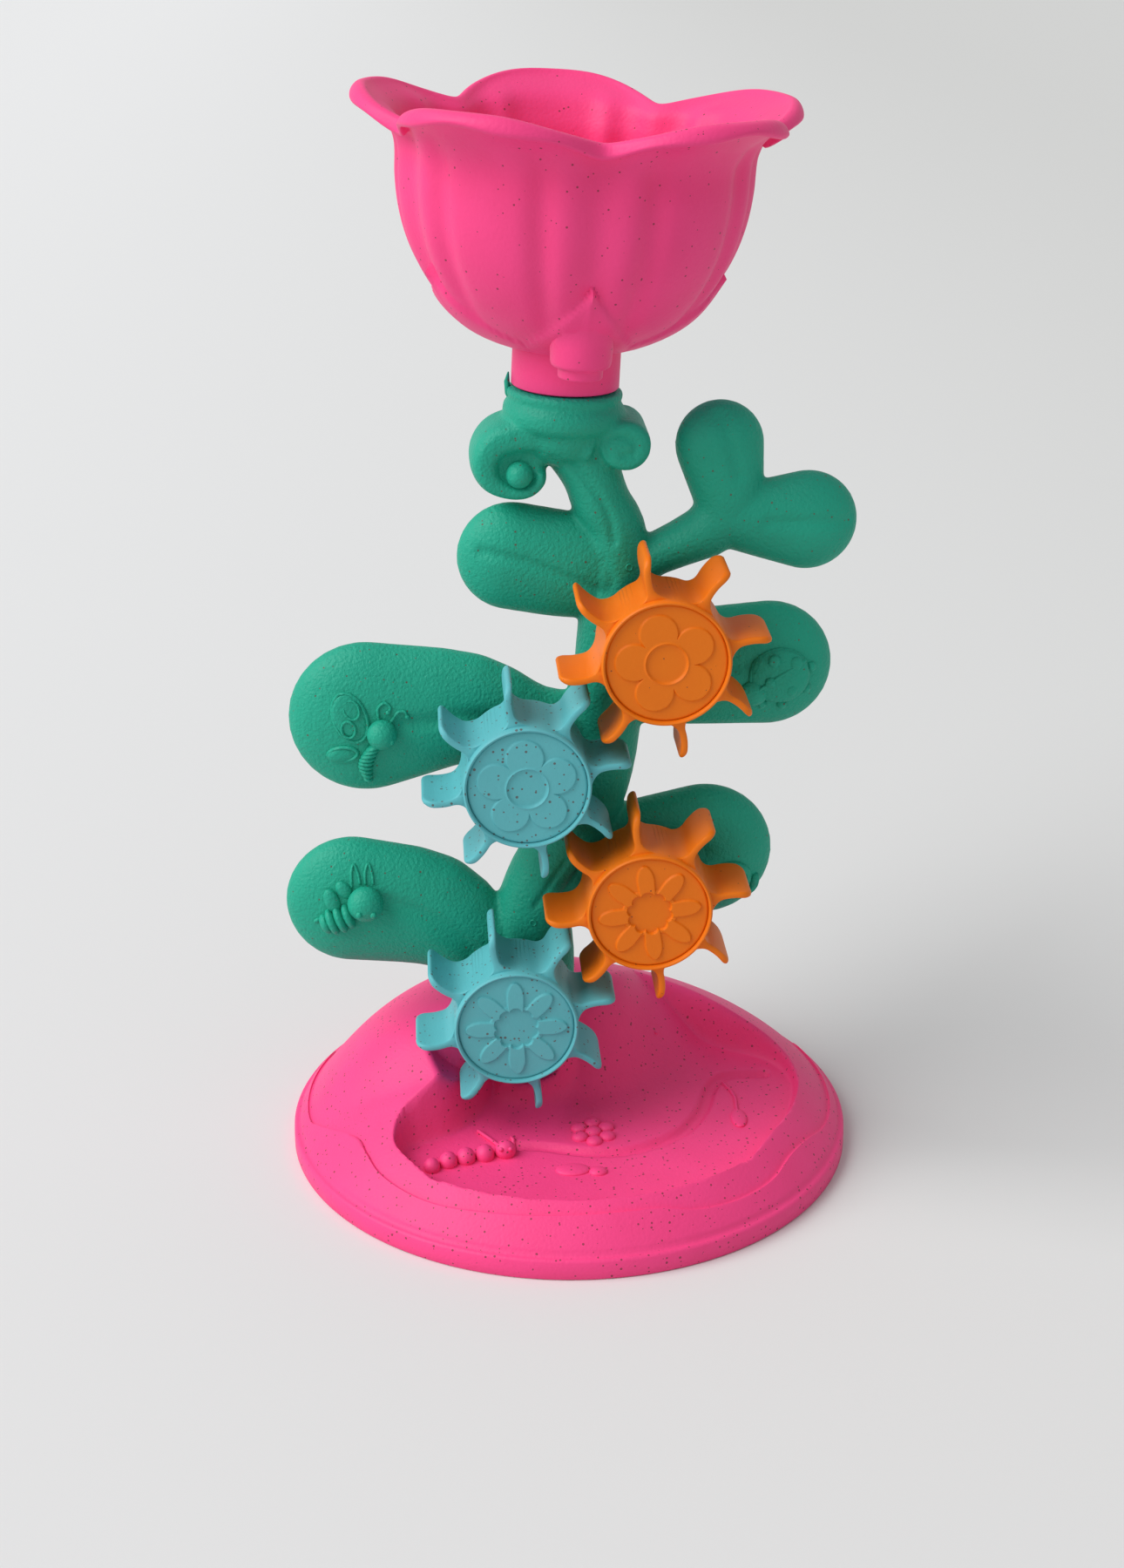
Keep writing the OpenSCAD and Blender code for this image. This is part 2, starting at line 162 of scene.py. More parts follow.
def block(low, high):
    """A plain block between two corners, used as a cutting tool."""
    deselect()
    bpy.ops.mesh.primitive_cube_add(size=1)
    piece = bpy.context.object
    low, high = np.asarray(low, float), np.asarray(high, float)
    put(piece, (points_of(piece) * MM + 0.5) * (high - low) + low)
    return piece


def face_out(piece):
    """Merges doubles and turns a closed piece's faces outwards."""
    choose_all(piece)
    bpy.ops.mesh.remove_doubles(threshold=0.01 * MM)
    bpy.ops.mesh.normals_make_consistent(inside=False)
    bpy.ops.object.mode_set(mode="OBJECT")


def smooth(piece, degrees):
    """Shades a piece smooth up to an angle."""
    only(piece)
    bpy.ops.object.shade_smooth_by_angle(angle=math.radians(degrees))


def loft(name, rings, low=None, high=None):
    """A skin through rings with equal point counts: a circle is added and extruded ring by ring.

    An end is left open, or closed by a flat face ("face") or drawn to one point ("point").
    """
    rings = np.asarray(rings, float)
    count = rings.shape[1]
    deselect()
    bpy.ops.mesh.primitive_circle_add(vertices=count, radius=1)
    piece = bpy.context.object
    piece.name = name
    bpy.ops.object.mode_set(mode="EDIT")
    bpy.ops.mesh.select_all(action="SELECT")
    for _ in range(len(rings) - 1):
        bpy.ops.mesh.extrude_region_move(TRANSFORM_OT_translate={"value": (0, 0, 1)})
    bpy.ops.object.mode_set(mode="OBJECT")
    flat = points_of(piece) * MM
    level = np.rint(flat[:, 2]).astype(int)
    step = np.rint(np.arctan2(flat[:, 1], flat[:, 0]) * count / TURN).astype(int) % count
    put(piece, rings[level, step])
    for end, at in ((low, 0), (high, len(rings) - 1)):
        if end:
            choose(piece, level == at)
            if end == "face":
                bpy.ops.mesh.edge_face_add()
            else:
                bpy.ops.mesh.merge(type="CENTER")
            bpy.ops.object.mode_set(mode="OBJECT")
            level = level[: len(piece.data.vertices)]
    return piece


def ring(radius, height, count):
    """A level ring of points about the Z axis."""
    a = np.arange(count) * TURN / count
    r = np.broadcast_to(radius, (count,))
    z = np.broadcast_to(height, (count,))
    return np.column_stack((r * np.cos(a), r * np.sin(a), z))


def lathe(name, profile, count, low=None, high=None):
    """A turned form about the Z axis through (radius, height) pairs."""
    return loft(name, [ring(r, z, count) for r, z in profile], low, high)


def spun(profile, count, move=None):
    """A closed turned solid, moved by a function of its points."""
    piece = lathe("spun", profile, count, "face", "face")
    if move:
        put(piece, move(points_of(piece)))
    face_out(piece)
    return piece


def ball(place, size, segments=20, rings=12):
    """An egg with three half-axes."""
    deselect()
    bpy.ops.mesh.primitive_uv_sphere_add(segments=segments, ring_count=rings, radius=1)
    piece = bpy.context.object
    put(piece, points_of(piece) * MM * np.asarray(size) + np.asarray(place))
    return piece


TUBE_SIDES = 8
TUBE_POINT = 0.02
TUBE_ROUND = 0.7


def tube(path, radius):
    """A round-ended tube along a path of points; radius is one number or one for each point."""
    path = np.asarray(path, float)
    radius = np.broadcast_to(radius, (len(path),)).astype(float)
    along = np.gradient(path, axis=0)
    along /= np.linalg.norm(along, axis=1)[:, None]
    side = np.cross(along, (0, 1, 0.001))
    side /= np.linalg.norm(side, axis=1)[:, None]
    up = np.cross(side, along)
    a = np.arange(TUBE_SIDES) * TURN / TUBE_SIDES
    circles = [np.cos(a)[:, None] * s + np.sin(a)[:, None] * u for s, u in zip(side, up)]
    rings = [p + r * circle for p, r, circle in zip(path, radius, circles)]
    caps = []
    for end, way in ((0, -1), (-1, 1)):
        out = way * along[end] * radius[end]
        shoulder = path[end] + TUBE_ROUND * out + TUBE_ROUND * radius[end] * circles[end]
        caps.append([shoulder, path[end] + out + TUBE_POINT * circles[end]])
    return loft("tube", caps[0][::-1] + rings + caps[1], "face", "face")


def curve_through(points, count):
    """A smooth path through a few points, or a smooth skin through a few rings of points."""
    p = np.asarray(points, float)
    p = np.concatenate(([2 * p[0] - p[1]], p, [2 * p[-1] - p[-2]]))
    spans = len(p) - 3
    path = []
    for t in np.linspace(0, spans - 1e-6, count):
        i = int(t)
        u = t - i
        a, b, c, d = p[i:i + 4]
        path.append(0.5 * (2 * b + (c - a) * u + (2 * a - 5 * b + 4 * c - d) * u * u
                           + (3 * b - a - 3 * c + d) * u ** 3))
    return np.array(path)


def distance_to(path, x, y):
    """Distance of each (x, y) from a path of 2-D points."""
    best = np.full(np.shape(x), 1e9)
    for (ax, ay), (bx, by) in zip(path[:-1], path[1:]):
        dx, dy = bx - ax, by - ay
        t = np.clip(((x - ax) * dx + (y - ay) * dy) / (dx * dx + dy * dy + 1e-12), 0, 1)
        best = np.minimum(best, np.hypot(x - ax - t * dx, y - ay - t * dy))
    return best


def encloses(path, x, y):
    """Whether each (x, y) lies inside a closed path of 2-D points."""
    odd = np.zeros(np.shape(x), bool)
    for (ax, ay), (bx, by) in zip(path, np.roll(path, -1, axis=0)):
        crosses = (ay > y) != (by > y)
        odd ^= crosses & (x < ax + (bx - ax) * (y - ay) / (by - ay + 1e-12))
    return odd


def ease(t):
    """0 below 0, 1 above 1, and smooth between."""
    t = np.clip(t, 0, 1)
    return t * t * (3 - 2 * t)


def soft_max(a, b, k):
    """The larger of two heights, blended over about k."""
    h = np.clip(0.5 + 0.5 * (a - b) / k, 0, 1)
    return b + (a - b) * h + k * h * (1 - h)


def soft_min(a, b, k):
    """The smaller of two heights, blended over about k."""
    return -soft_max(-a, -b, k)


def turned(x, y, angle):
    """Places turned about the origin by an angle in radians."""
    c, s = math.cos(angle), math.sin(angle)
    return x * c - y * s, x * s + y * c


def stem_to_row(points):
    """From the stem's own upright axis to the leaned stem on its hill."""
    p = np.asarray(points, float)
    dz = p[:, 2] - SHOULDER_Z
    x = -HILL_SHIFT + p[:, 0] * math.cos(LEAN) + dz * math.sin(LEAN)
    z = SHOULDER_Z - p[:, 0] * math.sin(LEAN) + dz * math.cos(LEAN)
    return np.column_stack((x, p[:, 1], z))


def wheel_to_row(points, i):
    """From a wheel's back, with its front towards +Z, to its place on the stem."""
    x, y, z = np.asarray(points, float).T
    return stem_to_row(np.column_stack((x + WHEEL_X[i], -WHEEL_BACK - z, y + WHEEL_Z[i])))


# Moulded plastic with flecks

ROUGHNESS = 0.5
SPECULAR = 0.25
FLECK_CELLS = 750.0
FLECK_TONE = (0.11, 0.035, 0.025, 1)
FLECK_STRENGTH = 0.75
PEBBLE_DEPTH = 0.4 * MM


def shader(tree, kind, **values):
    """Adds a shader node and sets sockets by their names, with _ for a space."""
    node = tree.nodes.new("ShaderNode" + kind)
    for socket, value in values.items():
        node.inputs[socket.replace("_", " ")].default_value = value
    return node


def colour_mix(tree, factor):
    """Adds a mix of two colours by another node's output."""
    node = shader(tree, "Mix")
    node.data_type = "RGBA"
    tree.links.new(factor, node.inputs["Factor"])
    return node


def reckon(tree, operation, first, second):
    """Adds a maths node on two outputs."""
    node = shader(tree, "Math")
    node.operation = operation
    tree.links.new(first, node.inputs[0])
    tree.links.new(second, node.inputs[1])
    return node


def speckled(name, colour, deep, flecks, fleck_mm, pebble):
    """Matte moulded plastic: soft mottling, dark flecks and a fine pebbled skin."""
    material = bpy.data.materials.new(name)
    material.use_nodes = True
    tree = material.node_tree
    link = tree.links.new
    skin = tree.nodes["Principled BSDF"]
    skin.inputs["Roughness"].default_value = ROUGHNESS
    skin.inputs["Specular IOR Level"].default_value = SPECULAR
    place = shader(tree, "TexCoord").outputs["Object"]

    mottle = shader(tree, "TexNoise", Scale=70, Detail=4)
    link(place, mottle.inputs["Vector"])
    spread = shader(tree, "MapRange", From_Min=0.35, From_Max=0.75, To_Max=0.6)
    link(mottle.outputs["Fac"], spread.inputs["Value"])
    tone = colour_mix(tree, spread.outputs["Result"])
    tone.inputs["A"].default_value = (*colour, 1)
    tone.inputs["B"].default_value = (*deep, 1)

    cells = shader(tree, "TexVoronoi", Scale=FLECK_CELLS)
    link(place, cells.inputs["Vector"])
    chance = shader(tree, "SeparateColor")
    link(cells.outputs["Color"], chance.inputs["Color"])
    size = shader(tree, "MapRange", From_Max=flecks, To_Min=fleck_mm * MM * FLECK_CELLS, To_Max=0.0)
    link(chance.outputs["Red"], size.inputs["Value"])
    grain = reckon(tree, "LESS_THAN", cells.outputs["Distance"], size.outputs["Result"])
    strength = shader(tree, "Math")
    strength.operation = "MULTIPLY"
    strength.inputs[1].default_value = FLECK_STRENGTH
    link(grain.outputs["Value"], strength.inputs[0])
    fleck = colour_mix(tree, strength.outputs["Value"])
    fleck.inputs["B"].default_value = FLECK_TONE
    link(tone.outputs["Result"], fleck.inputs["A"])
    link(fleck.outputs["Result"], skin.inputs["Base Color"])

    grit = shader(tree, "TexNoise", Scale=1000, Detail=2)
    link(place, grit.inputs["Vector"])
    bump = shader(tree, "Bump", Strength=pebble, Distance=PEBBLE_DEPTH)
    link(grit.outputs["Fac"], bump.inputs["Height"])
    link(bump.outputs["Normal"], skin.inputs["Normal"])
    return material


# Each plastic's own colour and the deeper one of its mottling
PINK_TONES = ((0.94, 0.062, 0.25), (0.88, 0.054, 0.22))
GREEN_TONES = ((0.014, 0.365, 0.24), (0.012, 0.32, 0.21))
ORANGE_TONES = ((0.82, 0.185, 0.004), (0.78, 0.165, 0.003))
BLUE_TONES = ((0.115, 0.46, 0.5), (0.1, 0.42, 0.46))

finishes = {
    PINK: speckled("pink_bioplastic", *PINK_TONES, flecks=0.18, fleck_mm=0.34, pebble=0.3),
    GREEN: speckled("green_bioplastic", *GREEN_TONES, flecks=0.24, fleck_mm=0.34, pebble=1.0),
    ORANGE: speckled("orange_bioplastic", *ORANGE_TONES, flecks=0.1, fleck_mm=0.28, pebble=0.15),
    BLUE: speckled("blue_bioplastic", *BLUE_TONES, flecks=0.4, fleck_mm=0.45, pebble=0.2),
}
pond_pink = speckled("pink_bioplastic_pond", *PINK_TONES, flecks=0.5, fleck_mm=0.4, pebble=0.3)


def settle(piece, name, body, node, slot, degrees, finish=None):
    """Finishes a piece: its name, shading, the material for its slot and its body, and hides its CAD node."""
    piece.name = name
    piece.data.name = name
    smooth(piece, degrees)
    piece.data.materials.clear()
    piece.data.materials.append(finish or finishes[slot])
    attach(piece, body)
    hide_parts(node)


# Funnel: a cup of five petals on a neck, with a spout under the front notch

CUP_R = 49.5
CUP_LOW = 249.0
CUP_H = 54.0
CUP_WIDE = CUP_LOW + CUP_H
CUP_COUNT = 360
CUP_WALL = 2.2
CUP_ROUND = 2.4
FLUTE_DEPTH = 1.9
FLUTE_PLACE = 20
FLUTE_HALF = 5.0
CREASE_DEPTH = 2.3
CREASE_HALF = 6.5
SEPAL_LOW = 257.0
SEPAL_TIP = 275.0
SEPAL_REACH = 13.5
SEPAL_THICK = 1.1
SEPAL_RIDGE = 1.9
SPIGOT_R = 11.9
NECK_R = 15.25
NECK = [(SPIGOT_R, 225.6), (SPIGOT_R, 239.5), (14.9, 239.5), (NECK_R, 239.9), (NECK_R, 245), (NECK_R, 250.6)]
SPOUT_Y = -27.4
SPOUT_BORE = 4.0
SPOUT = [(5.2, 247.6), (5.8, 247.75), (6.1, 248.2), (6.15, 250.2), (6.4, 250.6), (7.4, 250.8), (8.0, 251.3),
         (8.3, 252.2), (8.6, 257), (8.9, 262), (9.1, 267)]
NOTCH_SOFT = 4.0
PETAL_HALF = 180 / PETALS
PETAL_START = 0.88
PETAL_ROWS = 54
PETAL_WAVES = 15
LEFT_PETAL = 252
CREST_R = 50.0
CREST_OUT = 12.2
LEFT_PETAL_LESS = 3.0
PETAL_LOW = 9.2
PETAL_HIGH = 6.8
INSIDE_LIFT = 1.6

# Round the cup: degrees from the front notch, from the nearest notch and from the nearest petal's middle
cup_angle = np.arange(CUP_COUNT) * TURN / CUP_COUNT
cup_degrees = np.degrees(cup_angle)
from_notch = (cup_degrees + PETAL_HALF) % (2 * PETAL_HALF) - PETAL_HALF
soft_notch = np.hypot(from_notch, NOTCH_SOFT)
from_middle = np.maximum(PETAL_HALF - soft_notch, 0) * PETAL_HALF / (PETAL_HALF - NOTCH_SOFT)
petal_reach = 1 - (from_middle / PETAL_HALF) ** 2.2
petal_rise = 1 - (from_middle / PETAL_HALF) ** 2.0
left_petal = np.exp(-((cup_degrees - LEFT_PETAL) / 30) ** 4)


def cup_ring(radius, height):
    """A ring of the cup, with its angle counted from the front notch."""
    r = np.broadcast_to(radius, (CUP_COUNT,))
    z = np.broadcast_to(height, (CUP_COUNT,))
    return np.column_stack((r * np.sin(cup_angle), -r * np.cos(cup_angle), z))


def cup_wall(share):
    """Radius and height of the cup's outside at a share of its height, without its sepals."""
    r = CUP_R * math.sqrt(1 - (1 - share) ** CUP_ROUND)
    z = CUP_LOW + CUP_H * share
    flute = FLUTE_DEPTH * np.exp(-((from_middle - FLUTE_PLACE) / FLUTE_HALF) ** 2)
    crease = CREASE_DEPTH * np.exp(-(from_notch / CREASE_HALF) ** 2)
    return r - ease((share - 0.12) / 0.3) * (flute + crease), z


def sepal(radius, height):
    """How far the pointed sepals stand out of the cup, one under each notch."""
    across = np.abs(np.radians(from_notch)) * radius
    left = np.clip((SEPAL_TIP - height) / (SEPAL_TIP - SEPAL_LOW), 0, 1.2)
    reach = SEPAL_REACH * left ** 1.2
    thick = SEPAL_THICK + SEPAL_RIDGE * np.clip(1 - across / (reach + 0.01), 0, 1)
    return thick * ease((reach - across) / 1.4 + 0.4) * ease(left / 0.14)


def petal_section():
    """Rings of (radius, height) from the cup's outside over the petals' rolled edge to its inside."""
    lower, lower_z = cup_wall(PETAL_START)
    wide, _ = cup_wall(1.0)
    wave = np.sin(np.radians(PETAL_WAVES * (cup_degrees + 7)))
    crest = CREST_R + (CREST_OUT - LEFT_PETAL_LESS * left_petal) * petal_reach
    flare = crest - wide
    top = CUP_WIDE + PETAL_LOW + PETAL_HIGH * petal_rise + 0.15 * wave
    height = top - CUP_WIDE
    roll = 2.4 + 1.0 * petal_reach
    droop = 3.7 + 0.4 * petal_reach + 0.6 * wave
    rows = [
        (lower, np.full(CUP_COUNT, lower_z)),
        (wide, np.full(CUP_COUNT, CUP_WIDE)),
        (wide + 0.12 * flare, CUP_WIDE + 0.26 * height),
        (wide + 0.36 * flare, CUP_WIDE + 0.5 * height),
        (crest + roll - 3.2, top - droop + 1.3),
        (crest + roll - 1.4, top - droop),
        (crest + roll - 0.2, top - droop + 0.9),
        (crest + roll - 0.5, top - 0.45 * droop),
        (crest + 0.45 * roll, top - 0.1 * droop),
        (crest - 0.6, top - 0.1),
        (crest - 2.6, top - 1.7),
        (wide - CUP_WALL + 0.36 * flare, CUP_WIDE + 0.62 * height),
        (wide - CUP_WALL + 0.1 * flare, CUP_WIDE + 0.26 * height),
        (wide - CUP_WALL, np.full(CUP_COUNT, CUP_WIDE)),
        (lower - CUP_WALL, np.full(CUP_COUNT, lower_z + INSIDE_LIFT)),
    ]
    return curve_through([np.column_stack(row) for row in rows], PETAL_ROWS)


def to_spout(points):
    """From a turned form's own axis to the spout's."""
    return points + (0, SPOUT_Y, 0)


def make_funnel():
    """One skin from the spigot over the petals to the cup's floor, then the spout is added and drilled."""
    steps = 1 - 0.96 * (1 - np.linspace(0, 1, 52)) ** 1.3
    steps = steps[steps < PETAL_START - 0.01]
    outside = [cup_wall(share) for share in steps]
    inside = [cup_wall(share) for share in reversed(steps[6:])]
    rings = [cup_ring(r, z) for r, z in NECK]
    rings += [cup_ring(np.maximum(r + sepal(r, z), NECK_R + 0.05), z) for r, z in outside]
    rings += [cup_ring(*row.T) for row in petal_section()]
    rings += [cup_ring(np.maximum(r - CUP_WALL, 3), z + INSIDE_LIFT) for r, z in inside]
    rings.append(cup_ring(4.0, 256.0))
    funnel = loft("cup", rings, "face", "point")
    face_out(funnel)

    hollow = [cup_ring(4.5, 255.2)]
    hollow += [cup_ring(np.maximum(r - CUP_WALL + 0.6, 4.6), z + 1.0) for r, z in reversed(inside)]
    inner = loft("inner", hollow, "face", "face")
    face_out(inner)
    spout = spun(SPOUT, 64, to_spout)
    carve(spout, inner, "DIFFERENCE")
    carve(funnel, spout, "UNION")
    carve(funnel, spun([(SPOUT_BORE, 240), (SPOUT_BORE, 268)], 48, to_spout), "DIFFERENCE")

    x, y, z = points_of(funnel).T
    put(funnel, stem_to_row(np.column_stack((*turned(x, y, FUNNEL_YAW), z))))
    settle(funnel, "petal_funnel", "funnel", "funnel", PINK, 50)


make_funnel()


# Wheels: a drum with bowed paddles that run into it in wide fillets, and a cap with a flower

FLANK_POINTS = 14
TIP_POINTS = 6
GAP_POINTS = 4
FILLET = 3.6
BOW_R = 16.0
PADDLE_HALF = 1.0
PADDLE_CORNER = 3.6
PADDLE_EDGE = 0.7
PADDLE_THINNED = 0.55
DRUM_INSIDE = 17.4
BORE_R = 3.05
HUB_R = 6.0
WEB_BACK = 16.6
WEB_FRONT = 18.6
CAP_SEAT = 21.4
CAP_FACE = 22.8
CAP_R = 17.15
CAP_COUNT = 320
CAP_TURNS = (180, 97, 100, 94)


def spin_of(i):
    """Turn of a wheel at rest, so that its paddles stand midway between those of the wheel above."""
    if i == 0:
        return FIRST_SPIN
    there = math.atan2(WHEEL_Z[i] - WHEEL_Z[i - 1], WHEEL_X[i] - WHEEL_X[i - 1])
    back = math.atan2(WHEEL_Z[i - 1] - WHEEL_Z[i], WHEEL_X[i - 1] - WHEEL_X[i])
    return math.pi / PADDLES + there + back - spin_of(i - 1)


def bow(r):
    """Sideways bow of a paddle's middle line at a radius."""
    half = (PADDLE_R - DRUM_R + 1) / 2
    along = np.clip(r - (PADDLE_R - half), -half, half)
    return np.sqrt(BOW_R ** 2 - along ** 2) - math.sqrt(BOW_R ** 2 - half ** 2)


def paddle_outline(reach, half_t):
    """Outline of the drum and its paddles across the axle, for one slice along it."""
    u = np.linspace(0, 1, FLANK_POINTS)
    r = DRUM_R + (reach - half_t - DRUM_R) * u ** 1.6
    rise = np.clip(FILLET - (r - DRUM_R), 0, FILLET)
    half = half_t + FILLET - np.sqrt(FILLET ** 2 - rise ** 2)
    up = (bow(r) + half) / r
    down = (bow(r) - half) / r
    turn = np.radians(np.linspace(90, -90, TIP_POINTS + 2)[1:-1])
    tip_r = reach - half_t + half_t * np.cos(turn)
    tip_a = (bow(tip_r) + half_t * np.sin(turn)) / tip_r
    pitch = TURN / PADDLES
    gap = np.linspace(up[0], pitch + down[0], GAP_POINTS + 2)[1:-1]
    radius = np.concatenate((r, tip_r, r[::-1], np.full(GAP_POINTS, DRUM_R)))
    angle = np.concatenate((down, tip_a[::-1], up[::-1], gap))
    all_a = np.concatenate([angle + k * pitch for k in range(PADDLES)])
    all_r = np.tile(radius, PADDLES)
    return np.column_stack((all_r * np.cos(all_a), all_r * np.sin(all_a)))


def make_paddles():
    """A sleeve with eight bowed paddles whose outer corners and edges are rounded."""
    steps = [0, 0.25, 0.7, 1.3, 2.2, 3.6, 6.5, PADDLE_W / 2]
    rings = []
    for z in steps + [PADDLE_W - z for z in reversed(steps[:-1])]:
        end = min(z, PADDLE_W - z)
        rounded = PADDLE_CORNER - math.sqrt(PADDLE_CORNER ** 2 - max(PADDLE_CORNER - end, 0) ** 2)
        thin = PADDLE_THINNED * (1 - math.sqrt(1 - max(1 - end / PADDLE_EDGE, 0) ** 2))
        section = paddle_outline(PADDLE_R - rounded, PADDLE_HALF - thin)
        rings.append(np.column_stack((section, np.full(len(section), z))))
    skin = loft("paddles", rings)
    inner = lathe("inner", [(DRUM_INSIDE, 0), (DRUM_INSIDE, PADDLE_W)], 64)
    paddles = join([skin, inner], "paddles")
    for z in (0, PADDLE_W):
        choose(paddles, np.abs(points_of(paddles)[:, 2] - z) < 0.01)
        bpy.ops.mesh.fill(use_beauty=True)
        bpy.ops.object.mode_set(mode="OBJECT")
    face_out(paddles)
    return paddles


def make_drum():
    """Hub, web, drum and the step that holds the cap, turned from one closed profile."""
    hub = [(BORE_R, 0.4), (3.4, 0), (5.6, 0), (HUB_R, 0.4), (HUB_R, 15.9), (6.6, WEB_BACK)]
    back = [(15.8, WEB_BACK), (16.4, 15.9), (16.4, 0.4), (16.8, 0), (18.0, 0), (DRUM_R, 0.5)]
    lip = [(DRUM_R, 23.2), (18.25, 23.75), (17.9, DRUM_DEPTH), (17.55, 23.9), (17.3, 23.6)]
    seat = [(17.25, CAP_SEAT), (16.0, CAP_SEAT), (16.0, WEB_FRONT), (3.4, WEB_FRONT), (BORE_R, 18.2)]
    drum = lathe("drum", hub + back + lip + seat + hub[:1], 96)
    face_out(drum)
    return drum


def flower_round(x, y):
    """How far a point lies inside the outline of a five-petalled flower, and inside its eye."""
    r = np.hypot(x, y)
    petals = 8.0 - r
    for k in range(5):
        a = TURN * k / 5
        petals = np.maximum(petals, 5.5 - np.hypot(x - 9.2 * math.cos(a), y - 9.2 * math.sin(a)))
    return petals, 5.9 - r


def daisy(x, y):
    """The same for a daisy of eight round-ended petals with a scalloped eye."""
    low, wide, tip = 5.0, 10.2, 15.1
    a = np.arctan2(y, x)
    r = np.hypot(x, y)
    off = np.abs((a + TURN / 16) % (TURN / 8) - TURN / 16)
    side = r * np.sin(off)
    along = r * np.cos(off)
    end = np.clip((along - wide) / (tip - wide), 0, 1)
    half = 2.55 * np.sqrt(1 - end ** 2) - 0.05 * np.clip(wide - along, 0, 5)
    petals = np.where((along > low) & (along < tip), half - side, -1.0)
    scallops = 5.7 + 1.0 * np.abs(np.cos(5 * a)) ** 0.7
    return petals, scallops - r


def cap_relief(i, x, y):
    """Height of a cap's flower: five petals on the upper two wheels, a daisy on the lower two."""
    petals, eye = flower_round(x, y) if i < 2 else daisy(x, y)
    raised = ease(petals / 0.45 + 0.4)
    if i < 2:
        rim = np.exp(-(eye / 0.4) ** 2) * (petals > 0.6)
        return 0.6 * raised - 0.5 * ease(eye / 0.5 + 0.4) + 0.3 * rim
    sunk_eye = ease(eye / 0.4 + 0.5)
    collar = ease((eye + 1.3) / 0.4 + 0.5)
    return 0.7 * np.maximum(raised, 0.6 * collar) * (1 - sunk_eye) - 0.3 * sunk_eye


def make_cap(i):
    """A cap whose flower stands out of its flat face and has a sunk eye."""
    edge = [(16.9, CAP_SEAT + 0.1), (CAP_R, CAP_SEAT + 0.3), (CAP_R, CAP_FACE - 0.35), (16.9, CAP_FACE - 0.1)]
    rings = [ring(r, z, CAP_COUNT) for r, z in edge]
    for r in np.linspace(16.6, 0.3, 80):
        flat = ring(r, CAP_FACE, CAP_COUNT)
        x, y = turned(flat[:, 0], flat[:, 1], -math.radians(CAP_TURNS[i]))
        flat[:, 2] += cap_relief(i, x, y)
        rings.append(flat)
    return loft("cap", rings, "face", "point")


def make_wheels():
    """Four turned copies of one wheel, each with its own cap."""
    wheel = join([make_paddles(), make_drum()], "wheel")
    x, y, z = points_of(wheel).T
    for i in range(4):
        slot = ORANGE if i % 2 == 0 else BLUE
        copy = copy_of(wheel)
        put(copy, wheel_to_row(np.column_stack((*turned(x, y, spin_of(i)), z)), i))
        settle(copy, f"bowed_paddle_wheel_{i + 1}", f"wheel_{i + 1}", f"paddle_wheel_{i + 1}", slot, 40)
        cap = make_cap(i)
        put(cap, wheel_to_row(points_of(cap), i))
        face_out(cap)
        settle(cap, f"flower_cap_{i + 1}", f"wheel_{i + 1}", f"wheel_cap_{i + 1}", slot, 35)
    delete(wheel)


make_wheels()

# The axle pins keep their CAD shape
for i in range(4):
    for pin_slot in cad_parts[f"axle_pin_{i + 1}"].material_slots:
        pin_slot.material = finishes[GREEN]


# Base: skirt, dome and hill, with the pond sunk into its front

SKIN_COUNT = 540
UNDER_COUNT = 96
DOME_BALL = (105.6, -60.1)
EDGE_SWELL = 3.0
HILL_BALL = (81.6, -30.1)
HILL_NARROW = 1.7
HILL_FOOT = (-2.0, 35.0, 49.0)
HILL_SLOPE = 2.0
HILL_EASE = 0.85
PILLAR_R = 15.0
PILLAR_SLOPE = 9.0
POND_R = 73.0
POND_TILT = 0.05
BROOK_DEPTH = 1.8
BROOK_HALF = 1.9
BAY_R = 30.9
BAY_Y = -12.4
BAY_BACK = 9.0
bay_x, _, bay_z = stem_to_row([(WHEEL_X[3], 0, WHEEL_Z[3])])[0]


def shore_arc(start, stop):
    """Points of the front shore between two angles in degrees."""
    return [(POND_R * math.cos(a), POND_R * math.sin(a)) for a in np.radians(np.linspace(start, stop, 10))]


# Shore of the pond: an arc along the front, then points round the right, the back and the left
BACK_SHORE = [(64, -32), (69, -20), (71.5, -8), (70, 3), (65, 11), (57, 17), (45, 23), (30, 27), (12, 26),
              (-6, 17), (-20, 6), (-27, -3), (-33, -13), (-37.5, -21), (-41.5, -25.5), (-46.5, -28.5),
              (-51.5, -31.5), (-54.6, -37), (-54, -44.5)]
SHORE = curve_through(shore_arc(-90, -45) + BACK_SHORE + shore_arc(-128, -90), 260)
BROOK = curve_through([(62, 1), (50, 0.5), (44.5, -6), (40, -19), (32, -31), (18, -39), (4.5, -40),
                       (-11, -36), (-20, -35)], 70)


def rise(inside, slope, soft):
    """Height of a bank at a distance inside its foot, with a soft start."""
    return slope * soft * np.logaddexp(0, inside / soft)


def hilltop(x, y):
    """Height of the dome and the hill before the pond is sunk, level with the stem's shoulder on top."""
    r = np.hypot(x, y)
    swollen = r - EDGE_SWELL * ease((r - 48) / 36)
    dome = np.sqrt(np.maximum(DOME_BALL[0] ** 2 - swollen ** 2, 0)) + DOME_BALL[1]
    away = (x + HILL_SHIFT) ** 2 + np.where(y < 0, HILL_NARROW * y, y) ** 2
    hill = np.sqrt(np.maximum(HILL_BALL[0] ** 2 - away, 0)) + HILL_BALL[1]
    return soft_min(soft_max(dome, hill, 4.0), SHOULDER_Z - (x + HILL_SHIFT) * math.tan(LEAN), 2.0)


